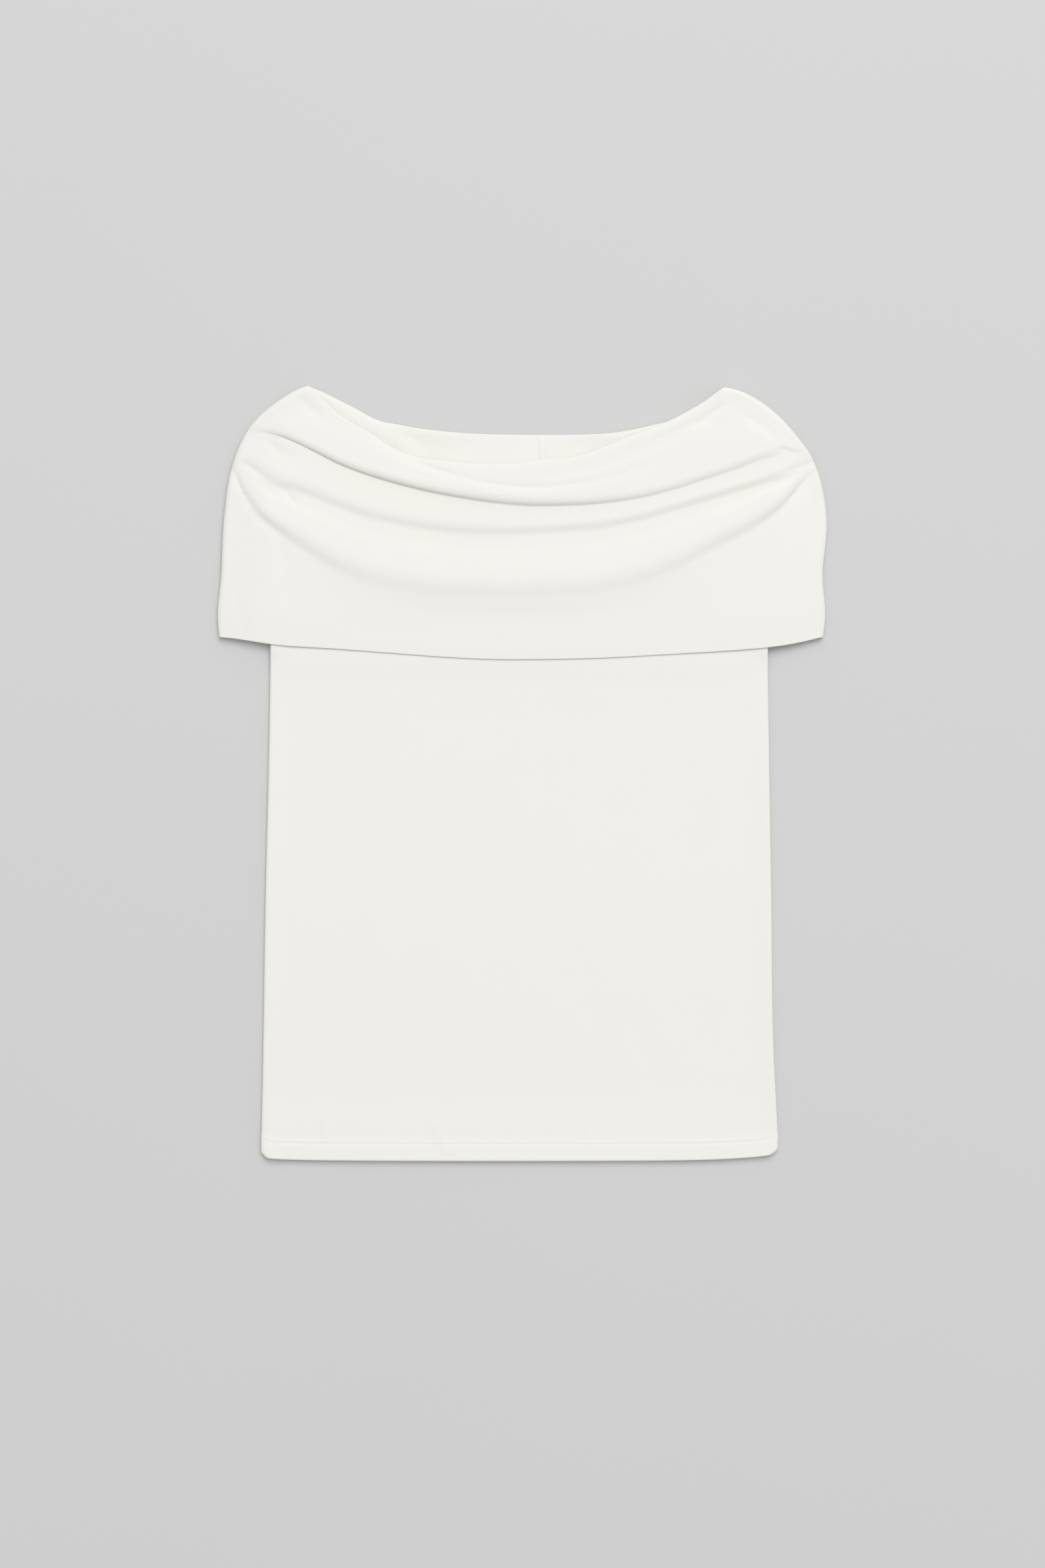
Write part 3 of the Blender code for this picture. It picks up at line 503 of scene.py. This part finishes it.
def guide_above(place):
    """The guide above a place between two of them, and the share of the way down to the next one."""
    number = min(int(place), len(FRONT_GUIDES) - 2)
    return number, place - number


def plan_line(guide_points, place, move, ends, fractions):
    """A line between two guides, moved towards the hem, its ends held on the outline."""
    upper, share = guide_above(place)
    points = guide_points(upper, fractions) * (1 - share) + guide_points(upper + 1, fractions) * share
    slope = np.gradient(points, axis=0)
    towards_hem = unit(np.column_stack([slope[:, 1], -slope[:, 0]]))
    from_side = np.minimum(fractions, 1 - fractions)
    points = points + towards_hem * (move(fractions) * ease(from_side / MOVE_FADE))[:, None]
    hold_left = (1 - ease(fractions / HOLD_REACH))[:, None]
    hold_right = (1 - ease((1 - fractions) / HOLD_REACH))[:, None]
    return points + (ends[0] - points[0]) * hold_left + (ends[1] - points[-1]) * hold_right


def fractions_across(width, turn, count, extra=()):
    """Stations across a layer: close together round each side turn, even in between, and extra ones."""
    near = np.array(TURN_STEPS[1:]) * turn / width
    between = np.linspace(near[-1], 1 - near[-1], count + 2)[1:-1]
    between = np.sort(np.concatenate([between, extra]))
    return np.concatenate([[0.0], near, between, 1 - near[::-1], [1.0]])


def turn_share(fractions, width, turn):
    """How far round the side turn each station is: 0 at the side, 1 once past it."""
    from_side = np.minimum(fractions, 1 - fractions) * width
    s = np.clip(from_side / turn, 0.0, 1.0)
    return np.sqrt(1 - (1 - s) ** 2)


def same(value):
    """A function of the station that is the same all across."""
    return lambda fractions: np.full(fractions.shape, value)


def ring(place, moves, ends, turn, front_heights, back_z):
    """One closed line round the flattened band: over the front, then back under it."""
    width = ends[1][0] - ends[0][0]
    middle_left = (front_heights[0] + back_z) / 2
    middle_right = (front_heights[-1] + back_z) / 2

    def layer(guide_points, move, count, heights, extra=()):
        fractions = fractions_across(width, turn, count, extra)
        plan = plan_line(guide_points, place, move, ends, fractions)
        middle = middle_left + (middle_right - middle_left) * fractions
        z = middle + (heights(fractions) - middle) * turn_share(fractions, width, turn)
        return np.column_stack([plan, z])

    front = layer(front_guide, moves[0], FRONT_STATIONS,
                  lambda across: steady_curve(HEIGHT_STATIONS, front_heights, across))
    seam = (BACK_SEAM_X + np.array(BACK_SEAM_STEPS) - ends[0][0]) / width
    back = layer(back_guide, moves[1], BACK_STATIONS, same(back_z), seam)
    return np.vstack([front, back[-2:0:-1]])


def outline_ends(place, extra_length, inset):
    """Where a ring turns at each side: between its guides' ends, on the outline or inside it."""
    upper, share = guide_above(place)
    ends = []
    for outline, field in ((LEFT, "y_left"), (RIGHT, "y_right")):
        start, stop = (outline.length_at(getattr(guide, field)) for guide in FRONT_GUIDES[upper:upper + 2])
        length = start + (stop - start) * share + extra_length
        ends.append(outline.point(max(length, 0.0), inset))
    return ends


def inner_ring(share):
    """The band inside the neck: at its seam where share is 1, nearer to the neck edge where it is less."""
    ends = outline_ends(0.0, SIDE_INNER_DEPTH * share, INNER_INSET)
    moves = (same(FRONT_INNER_DEPTH * share), same(BACK_INNER_DEPTH * share))
    heights = (FRONT_INNER_Z,) * len(HEIGHT_STATIONS)
    return ring(0.0, moves, ends, TURN_WIDTH_INNER, heights, BACK_INNER_Z)


def roll_ring(degrees):
    """A ring of the neck roll: half a turn from the inner layer, over the neck edge, to the crest."""
    angle = np.radians(degrees)
    reach = 1 - np.sin(angle)
    outward = (1 - np.cos(angle)) / 2
    crest = np.array(COLLAR_ROWS[0][-len(HEIGHT_STATIONS):])
    half = BAND_THICK / 2
    front_heights = FRONT_INNER_Z + (crest - FRONT_INNER_Z) * outward
    back_z = BACK_INNER_Z + (BACK_OUTER_Z - BACK_INNER_Z) * outward
    turn = TURN_WIDTH_INNER + (TURN_WIDTH_OUTER - TURN_WIDTH_INNER) * outward
    side_radius = (INNER_INSET - half) / 2
    ends = outline_ends(0.0, side_radius * reach, INNER_INSET + (half - INNER_INSET) * outward)

    def front_move(fractions):
        radius = (steady_curve(HEIGHT_STATIONS, crest, fractions) - FRONT_INNER_Z) / 2
        return half + radius * ROLL_DEPTH * reach

    back_move = half + (BACK_INNER_Z - BACK_OUTER_Z) / 2 * ROLL_DEPTH * reach
    return ring(0.0, (front_move, same(back_move)), ends, turn, front_heights, back_z)


def row_ring(row):
    ends = outline_ends(row.guide, row.side_move, BAND_THICK / 2)

    def front_move(fractions):
        return steady_curve(MOVE_STATIONS, (row.move_left, row.move_middle, row.move_right), fractions)

    moves = (front_move, same(row.side_move))
    heights = row[-len(HEIGHT_STATIONS):]
    return ring(row.guide, moves, ends, TURN_WIDTH_OUTER, heights, BACK_OUTER_Z)


def between_rings(before, start, stop, after, share):
    """A ring on the smooth curve through four rings, between the middle two."""
    moves = (start - before, stop - start, after - stop)
    gaps = [np.linalg.norm(move, axis=1, keepdims=True) + SMALLEST_GAP for move in moves]
    way_in, way, way_out = (move / gap for move, gap in zip(moves, gaps))
    gap_before, gap, gap_after = gaps
    bend_start = (way_in * gap + way * gap_before) / (gap_before + gap) * gap
    bend_stop = (way * gap_after + way_out * gap) / (gap + gap_after) * gap
    return blend(start, stop, bend_start, bend_stop, share)


def collar_rings():
    """All rings of the collar, from the seam inside the neck to the folded lower edge, and the number
    of the ring at the crest of the neck roll."""
    rings = [inner_ring(share) for share in np.linspace(1.0, INNER_LAST_SHARE, INNER_RINGS)]
    rings += [roll_ring(degrees) for degrees in range(0, 181, ROLL_STEP)]
    crest = len(rings) - 1
    outer = [rings[-1]] + [row_ring(row) for row in COLLAR_ROWS[1:]]
    for number in range(len(outer) - 1):
        before = outer[number - 1] if number else rings[crest - 1]
        start, stop = outer[number], outer[number + 1]
        after = outer[min(number + 2, len(outer) - 1)]
        middle = len(start) * 2 // 5
        steps = max(2, round(np.linalg.norm(stop[middle] - start[middle]) / RING_SPACING))
        for step in range(1, steps + 1):
            rings.append(between_rings(before, start, stop, after, step / steps))
    return np.array(rings), crest


def crease_lift(creases, x, y):
    """How far the creases lift the cloth at the points (x, y)."""
    lift = np.zeros(x.shape)
    for crease in creases:
        marks = np.array(crease.marks)
        along = length_at_corners(marks)
        count = max(CREASE_LEAST_POINTS, int(along[-1] / CREASE_SPACING))
        fine = np.linspace(0.0, along[-1], count)
        line = line_through(marks, along, fine)
        strength = steady_curve(along, marks[:, 2], fine)
        direction = unit(np.gradient(line, axis=0))
        reach = CREASE_REACH * max(crease.above, crease.below)
        low, high = line.min(axis=0) - reach, line.max(axis=0) + reach
        near = (x > low[0]) & (x < high[0]) & (y > low[1]) & (y < high[1])
        points = np.column_stack([x[near], y[near]])
        offsets = points[:, None] - line[None]
        distances = np.hypot(offsets[..., 0], offsets[..., 1])
        nearest = distances.argmin(axis=1)
        offset = offsets[np.arange(len(points)), nearest]
        side = direction[nearest, 0] * offset[:, 1] - direction[nearest, 1] * offset[:, 0]
        width = np.where(side > 0, crease.above, crease.below)
        fall = np.exp(-(distances.min(axis=1) / width) ** 2)
        lift[near] += crease.height * strength[nearest] * fall
    return lift


def body_sides(y):
    """The body's left and right edges at the height y."""
    heights, left, right = zip(*BODY_SIDES)
    return smooth_curve(heights, left, y), smooth_curve(heights, right, y)


def seam_line(is_front, fractions):
    """The part of the collar's inner seam that a panel is sewn to."""
    ends = outline_ends(0.0, SIDE_INNER_DEPTH, INNER_INSET)
    width = ends[1][0] - ends[0][0]
    depth = FRONT_INNER_DEPTH if is_front else BACK_INNER_DEPTH
    guide_points = front_guide if is_front else back_guide
    line = plan_line(guide_points, 0.0, same(depth), ends, np.linspace(0.0, 1.0, FRONT_STATIONS))
    reach = TOP_FRACTION_LEFT + (TOP_FRACTION_RIGHT - TOP_FRACTION_LEFT) * fractions
    x = ends[0][0] + width * reach
    return np.column_stack([x, np.interp(x, line[:, 0], line[:, 1]) - NECK_SEAM_GAP])


def hem_rise(fractions):
    across = 2 * fractions - 1
    side_rise = np.where(across < 0, HEM_RISE_LEFT, HEM_RISE_RIGHT)
    return side_rise * np.abs(across) ** HEM_RISE_POWER


def rows_at(places):
    """Rows of a panel worked out at these places, counted in rows of the table."""
    numbers = np.arange(len(PANEL_ROWS))
    heights, *columns = list(zip(*PANEL_ROWS))[1:-1]
    columns = [steady_curve(numbers, column, np.array(places)) for column in columns]
    heights = np.interp(places, numbers, heights)
    return [PanelRow("", *values, 0) for values in zip(heights, *columns)]


def panel_rows(coarseness):
    """The rows of a panel with the ones worked out in between."""
    places = [0.0]
    for number, row in enumerate(PANEL_ROWS[:-1]):
        steps = max(1, round(row.steps / coarseness))
        places += [number + step / steps for step in range(1, steps + 1)]
    return rows_at(places)


def panel_plan(row, is_front, fractions):
    """Where one row of a panel runs, seen from above."""
    x_left, x_right = body_sides(row.y)
    x = x_left + (x_right - x_left) * fractions
    y = row.y + hem_rise(fractions) * ease((HEM_RISE_TOP_Y - row.y) / HEM_RISE_FADE)
    if row.share > 0:
        top_x, top_y = seam_line(is_front, fractions).T
        x = x + (top_x - x) * row.share ** SCOOP_POWER
        y = y + (top_y - y) * row.share
    return np.column_stack([x, y])


def panel_grid(is_front, rows, stations):
    """The creased outer face of a body panel, the thickness of its wall, and where it lies flat: 1 well
    inside the side seams, 0 round their turn."""
    grid = []
    thickness = []
    flatness = []
    for row in rows:
        x_left, x_right = body_sides(row.y)
        width = x_right - x_left
        side_turn = row.height * SIDE_TURN_SHARE
        fractions = fractions_across(width, side_turn, stations)
        plan = panel_plan(row, is_front, fractions)
        round_side = turn_share(fractions, width, side_turn)
        from_side = np.minimum(fractions, 1 - fractions) * width
        softening = ease((from_side - side_turn) / SIDE_SOFTNESS)
        seam_z = row.back_level + row.height / 2
        if is_front:
            flat = row.front_level + row.thick
            rim = row.back_level + row.height
            start = seam_z + SEAM_GAP / 2
            turned = start + (rim - start) * round_side
            z_seamed = turned + (flat - rim) * softening
        else:
            flat = row.back_level
            start = seam_z - SEAM_GAP / 2
            z_seamed = start + (flat - start) * round_side
        z = flat + (z_seamed - flat) * row.seamed
        grid.append(np.column_stack([plan, z]))
        doubled = ease((from_side / side_turn - DOUBLED_START) / (DOUBLED_END - DOUBLED_START))
        thickness.append(JERSEY_THICK + (row.thick - JERSEY_THICK) * doubled)
        flatness.append(ease((from_side / side_turn - FLAT_START) / (FLAT_END - FLAT_START)))
    grid = np.array(grid)
    if is_front:
        grid[..., 2] += crease_lift(BODY_CREASES, grid[..., 0], grid[..., 1])
    return grid, np.array(thickness), np.array(flatness)


def new_object(name, data):
    made = bpy.data.objects.new(name, data)
    bpy.context.collection.objects.link(made)
    return made


def line_directions(grid, axis, closed):
    """The direction of the grid's lines at each point: halfway between the steps before and after it."""
    grid = np.moveaxis(grid, axis, 0)
    if closed:
        steps = unit(np.roll(grid, -1, axis=0) - grid)
        directions = steps + np.roll(steps, 1, axis=0)
    else:
        steps = unit(np.diff(grid, axis=0))
        directions = np.concatenate([steps[:1], steps[:-1] + steps[1:], steps[-1:]])
    return np.moveaxis(unit(directions), 0, axis)


def grid_normals(grid, closed):
    """The direction across the cloth at each point of a grid of rows."""
    return unit(np.cross(line_directions(grid, 1, closed), line_directions(grid, 0, False)))


def rounded_edge(outer, inner, beyond):
    """Lines round a folded edge, from the outer face to the inner one, past the edge."""
    middle = (outer + inner) / 2
    half = (outer - inner) / 2
    outwards = unit(middle - beyond) * np.linalg.norm(half, axis=1, keepdims=True)
    angles = np.linspace(0.0, np.pi, EDGE_STEPS + 1)[1:-1]
    return [middle + half * np.cos(angle) + outwards * np.sin(angle) for angle in angles]


def wall_object(name, outer, inner, closed, folded_row):
    """A closed shell of cloth between two faces, with a rounded fold along one row. Its UV map gives
    the way along the cloth in metres, across and down."""
    rows, columns = outer.shape[:2]
    spans, open_sides = (columns, ()) if closed else (columns - 1, (0, columns - 1))
    mesh = bmesh.new()
    uv = mesh.loops.layers.uv.new("cloth")
    next_column = np.roll(outer, -1, axis=1) if closed else outer[:, 1:]
    steps_across = np.linalg.norm(next_column - outer[:, :spans], axis=2).mean(axis=0)
    steps_down = np.linalg.norm(np.diff(outer, axis=0), axis=2).mean(axis=1)
    across = running_total(steps_across) * MM
    down = running_total(steps_down) * MM
    step = -1 if folded_row else 1
    beyond = (outer[folded_row + step] + inner[folded_row + step]) / 2

    def corners_at(lines):
        return [[mesh.verts.new(Vector(point) * MM) for point in line] for line in lines]

    edge = corners_at(rounded_edge(outer[folded_row], inner[folded_row], beyond))
    faces = [corners_at(outer), corners_at(inner)]

    def quad(corners, places):
        face = mesh.faces.new(corners)
        for loop, (column, row) in zip(face.loops, places):
            loop[uv].uv = (across[column], row)

    def strip(first, second, row_first, row_second):
        for column in range(spans):
            after = (column + 1) % columns
            quad((first[column], first[after], second[after], second[column]),
                 ((column, row_first), (column + 1, row_first),
                  (column + 1, row_second), (column, row_second)))

    for lines in faces:
        for row in range(rows - 1):
            strip(lines[row], lines[row + 1], down[row], down[row + 1])
    for row in (0, rows - 1):
        bridge = [faces[0][row], faces[1][row]]
        if row == folded_row:
            bridge[1:1] = edge
        for first, second in zip(bridge, bridge[1:]):
            strip(first, second, down[row], down[row] + HEM_THICK * MM / EDGE_STEPS)
        if row == folded_row:
            for column in open_sides:
                mesh.faces.new([line[column] for line in bridge])
    for column in open_sides:
        for row in range(rows - 1):
            around = ((0, row), (0, row + 1), (1, row + 1), (1, row))
            quad([faces[face][line][column] for face, line in around],
                 [(column, down[line]) for face, line in around])
    bmesh.ops.recalc_face_normals(mesh, faces=mesh.faces)
    data = bpy.data.meshes.new(name)
    mesh.to_mesh(data)
    mesh.free()
    data.shade_smooth()
    return new_object(name, data)


def band_half_thickness(rings):
    """Half the wall's thickness at each point: the cloth is pressed thinner at the two tips of the neck."""
    half = np.full(rings.shape[:2], BAND_THICK / 2)
    for x, y in (LEFT_WING[0], RIGHT_WING[0]):
        distance = np.hypot(rings[:, :, 0] - x, rings[:, :, 1] - y)
        half *= 1 - TIP_THINNING * (1 - ease(distance / TIP_REACH))
    to_edge = np.linalg.norm(rings - rings[-1], axis=2)
    half *= 1 - EDGE_THINNING * (1 - ease(to_edge / EDGE_THINNING_REACH))
    return half[:, :, None]


def inner_share(rings, crest):
    """How far the wall reaches inwards from its middle, as a share of half its thickness: less in the
    tight neck roll, and near the sides, where the folds run together."""
    number = np.arange(len(rings))
    from_roll = np.maximum(INNER_RINGS - 1 - number, number - crest)
    share = 1 - ROLL_INNER_THINNING * (1 - ease(from_roll / ROLL_THINNING_RINGS))
    x = rings[..., 0]
    from_side = np.minimum(x - x.min(axis=1, keepdims=True), x.max(axis=1, keepdims=True) - x)
    side = 1 - SIDE_INNER_THINNING * (1 - ease(from_side / SIDE_THINNING_REACH))
    return (share[:, None] * side)[:, :, None]


def layer_columns():
    """Which columns of a ring belong to the front layer, and which to the back one."""
    turns = 2 * len(TURN_STEPS)
    front_count = FRONT_STATIONS + turns
    back_count = BACK_STATIONS + len(BACK_SEAM_STEPS) + turns - 2
    return np.arange(front_count), np.arange(front_count, front_count + back_count)


def make_collar():
    rings, crest = collar_rings()
    front, back = layer_columns()
    past_roll = ease((np.arange(len(rings)) - INNER_RINGS) / (crest - INNER_RINGS))[:, None]
    rings[:, front, 2] += past_roll * crease_lift(COLLAR_CREASES, rings[:, front, 0], rings[:, front, 1])
    rings[:, back, 2] += (1 - past_roll) * crease_lift(BAND_CREASES, rings[:, back, 0], rings[:, back, 1])
    outwards = -grid_normals(rings, True)
    half = band_half_thickness(rings)
    outer = rings + outwards * half
    inner = rings - outwards * half * inner_share(rings, crest)
    for face in (outer, inner):
        face[..., 2] = np.maximum(face[..., 2], 0.0)
    return wall_object("collar_cloth", outer, inner, True, len(rings) - 1)


def make_panel(name, is_front, coarseness, stations):
    rows = panel_rows(coarseness)
    grid, thickness, flatness = panel_grid(is_front, rows, stations)
    seamed = np.array([row.seamed for row in rows])
    normals = grid_normals(grid, False)
    if (normals[len(grid) // 2, stations // 2, 2] > 0) != is_front:
        normals = -normals
    up = 1.0 if is_front else -1.0
    for column, sideways in ((0, -1.0), (-1, 1.0)):
        normals[:, column] = unit(np.column_stack([sideways * seamed, np.zeros_like(seamed),
                                                   up * (1.0 - seamed)]))
    inwards = unit(normals + ((0.0, 0.0, up) - normals) * flatness[:, :, None])
    inner = grid - inwards * thickness[:, :, None]
    return wall_object(name, grid, inner, False, 0)


def make_stitch(length):
    """One stitch: a short soft loop of thread along X, whose ends dip into the cloth."""
    bpy.ops.object.select_all(action="DESELECT")
    bpy.ops.mesh.primitive_uv_sphere_add(segments=THREAD_SEGMENTS, ring_count=THREAD_SEGMENTS,
                                         radius=THREAD_WIDTH / 2 * MM)
    stitch = bpy.context.object
    bpy.ops.object.mode_set(mode="EDIT")
    bpy.ops.transform.rotate(value=np.pi / 2, orient_axis="Y", center_override=(0.0, 0.0, 0.0))
    bpy.ops.transform.resize(value=(length / THREAD_WIDTH, 1.0, THREAD_FLATNESS))
    bpy.ops.mesh.select_all(action="DESELECT")
    bpy.ops.object.mode_set(mode="OBJECT")
    for point in stitch.data.vertices:
        point.select = abs(point.co.x) > THREAD_MIDDLE_SHARE * length * MM
    bpy.ops.object.mode_set(mode="EDIT")
    bpy.ops.transform.translate(value=(0.0, 0.0, -THREAD_DIP * MM))
    bpy.ops.object.mode_set(mode="OBJECT")
    bpy.ops.object.shade_smooth()
    return stitch


def make_hem_stitches(name, is_front):
    """Two rows of stitches round the hem of one panel, each a copy of one stitch."""
    heights = [row.y for row in PANEL_ROWS[:HEM_ROWS]]
    up = 1.0 if is_front else -1.0
    stitches = []
    for row in STITCH_ROWS:
        place = np.interp(HEM_Y + row.above_hem, heights, np.arange(len(heights)))
        line = panel_grid(is_front, rows_at([place]), FRONT_PANEL_STATIONS)[0][0]
        first = make_stitch(row.length)
        start, stop = line[0, 0] + STITCH_FREE_SIDE, line[-1, 0] - STITCH_FREE_SIDE
        for x in np.arange(start, stop, STITCH_PITCH):
            y, z = np.interp(x, line[:, 0], line[:, 1]), np.interp(x, line[:, 0], line[:, 2])
            stitch = first.copy()
            stitch.data = first.data.copy()
            bpy.context.collection.objects.link(stitch)
            stitch.location = Vector((x, y, z + up * row.proud)) * MM
            if is_front:
                stitch.rotation_euler = (0.0, row.drop, row.turn)
            else:
                stitch.rotation_euler = (np.pi, 0.0, -row.turn)
            stitches.append(stitch)
        bpy.data.objects.remove(first, do_unlink=True)
    bpy.ops.object.select_all(action="DESELECT")
    for stitch in stitches:
        stitch.select_set(True)
    bpy.context.view_layer.objects.active = stitches[0]
    bpy.ops.object.join()
    bpy.ops.object.transform_apply(location=True, rotation=True, scale=True)
    both = bpy.context.object
    both.name = name
    return both


def new_material(name):
    material = bpy.data.materials.new(name)
    material.use_nodes = True
    return material, material.node_tree, material.node_tree.nodes["Principled BSDF"]


def feed(tree, node, inputs):
    """Gives each of a node's inputs its value, or links it to another node's output."""
    for name, value in inputs.items():
        if isinstance(value, bpy.types.NodeSocket):
            tree.links.new(value, node.inputs[name])
        else:
            node.inputs[name].default_value = value


def outputs_of(tree, kind, inputs, **settings):
    """The outputs of a new shader node with these settings and inputs."""
    node = tree.nodes.new("ShaderNode" + kind)
    for setting, value in settings.items():
        setattr(node, setting, value)
    feed(tree, node, inputs)
    return node.outputs


def shade(colour, brightness=1.0):
    return (*(brightness * channel for channel in colour), 1.0)


def two_tones(tree, share, first, second):
    return outputs_of(tree, "Mix", {"Factor": share, "A": first, "B": second}, data_type="RGBA")["Result"]


def relief(tree, height, strength, distance):
    inputs = {"Height": height, "Strength": strength, "Distance": distance}
    return outputs_of(tree, "Bump", inputs)["Normal"]


def thread_material():
    """Sewing thread: a fine twist along each stitch."""
    material, tree, shader = new_material("hem thread")
    place = outputs_of(tree, "TexCoord", {})["Object"]
    turned = outputs_of(tree, "Mapping", {"Vector": place, "Rotation": (0.0, 0.0, THREAD_TWIST)})
    waves = {"Vector": turned["Vector"], "Scale": 1500.0, "Distortion": 1.0}
    twist = outputs_of(tree, "TexWave", waves)["Fac"]
    feed(tree, shader, {
        "Roughness": 0.7, "Sheen Weight": 0.1, "Specular IOR Level": 0.3,
        "Base Color": two_tones(tree, twist, shade(THREAD_DARK), shade(THREAD_LIGHT)),
        "Normal": relief(tree, twist, strength=0.4, distance=0.00006)})
    return material


def jersey_material(name, hem_depth):
    """Soft fine jersey: a slightly uneven tone, with the knit's wales and courses as a fine relief. The
    doubled cloth of a hem, up to hem_depth from the cloth's first edge, lets less light through."""
    material, tree, shader = new_material(name)
    cloth = outputs_of(tree, "UVMap", {}, uv_map="cloth")["UV"]
    along = outputs_of(tree, "SeparateXYZ", {0: cloth})

    def math(operation, *values):
        return outputs_of(tree, "Math", dict(enumerate(values)), operation=operation)[0]

    wale = math("FRACT", math("DIVIDE", along["X"], WALE_WIDTH * MM))
    from_middle = math("ABSOLUTE", math("SUBTRACT", wale, 0.5))
    course = math("DIVIDE", along["Y"], COURSE_HEIGHT * MM)
    chevron = math("SINE", math("MULTIPLY", math("ADD", course, from_middle), 2 * np.pi))
    legs = math("ABSOLUTE", math("SINE", math("MULTIPLY", wale, 2 * np.pi)))
    knit = math("MULTIPLY", legs, math("MULTIPLY_ADD", chevron, 0.3))
    place = outputs_of(tree, "TexCoord", {})["Object"]
    fuzz = outputs_of(tree, "TexNoise", {"Vector": place, "Scale": 420.0, "Detail": 3.0})["Fac"]
    height = math("ADD", knit, math("MULTIPLY", fuzz, 0.5))
    cloud = outputs_of(tree, "TexNoise", {"Vector": place, "Scale": 26.0, "Detail": 4.0})["Fac"]
    tone = two_tones(tree, cloud, shade(JERSEY_COLOUR, JERSEY_DARKEST), shade(JERSEY_COLOUR))
    if hem_depth:
        doubled = math("LESS_THAN", along["Y"], hem_depth * MM)
        tone = two_tones(tree, doubled, tone, shade(JERSEY_COLOUR, HEM_BRIGHTNESS))
    feed(tree, shader, {
        "Roughness": 0.9, "Sheen Weight": 0.15, "Sheen Roughness": 0.6, "Specular IOR Level": 0.2,
        "Base Color": tone, "Normal": relief(tree, height, strength=0.35, distance=0.00012)})
    return material


def floor_material():
    """A pale matt floor whose tone is hardly uneven."""
    material, tree, shader = new_material("pale floor")
    place = outputs_of(tree, "TexCoord", {})["Object"]
    cloud = outputs_of(tree, "TexNoise", {"Vector": place, "Scale": 3.0})["Fac"]
    feed(tree, shader, {
        "Roughness": 0.95, "Specular IOR Level": 0.1,
        "Base Color": two_tones(tree, cloud, shade(FLOOR_DARK), shade(FLOOR_LIGHT))})
    return material


def make_floor():
    bpy.ops.mesh.primitive_plane_add(size=FLOOR_SIZE, location=(0.0, 0.0, FLOOR_Z))
    floor = bpy.context.object
    floor.name = "floor"
    floor.data.materials.append(floor_material())
    return floor


def make_light():
    data = bpy.data.lights.new("key", "AREA")
    data.shape = "SQUARE"
    data.size = LIGHT_SIZE
    data.energy = LIGHT_POWER
    light = new_object("key", data)
    light.location = LIGHT_PLACE
    light.rotation_euler = (-Vector(LIGHT_PLACE)).to_track_quat("-Z", "Y").to_euler()


def make_world():
    world = bpy.data.worlds.new("studio")
    world.use_nodes = True
    feed(world.node_tree, world.node_tree.nodes["Background"],
         {"Color": shade(WORLD_COLOUR), "Strength": WORLD_STRENGTH})
    bpy.context.scene.world = world


def make_camera():
    data = bpy.data.cameras.new("camera")
    data.sensor_width = SENSOR
    data.lens = SENSOR * CAMERA_PLACE[2] / PICTURE_HEIGHT
    data.clip_start = 0.1
    data.clip_end = 20.0
    camera = new_object("camera", data)
    camera.location = CAMERA_PLACE
    bpy.context.scene.camera = camera


def dress(piece, material):
    piece.data.materials.append(material)
    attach(piece, "root")


def finish_piece(piece, node, material):
    dress(piece, material)
    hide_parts(node)


def main():
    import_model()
    bpy.context.scene.view_settings.view_transform = "Standard"
    band_jersey = jersey_material("collar jersey", 0.0)
    body_jersey = jersey_material("body jersey", HEM_DEPTH)
    collar = make_collar()
    finish_piece(collar, "collar", band_jersey)
    front_panel = make_panel("front_panel_cloth", True, 1.0, FRONT_PANEL_STATIONS)
    finish_piece(front_panel, "front_panel", body_jersey)
    back_panel = make_panel("back_panel_cloth", False, 2.0, BACK_PANEL_STATIONS)
    finish_piece(back_panel, "back_panel", body_jersey)
    thread = thread_material()
    dress(make_hem_stitches("front_hem_stitches", True), thread)
    dress(make_hem_stitches("back_hem_stitches", False), thread)
    floor = make_floor()
    make_light()
    make_world()
    make_camera()


main()
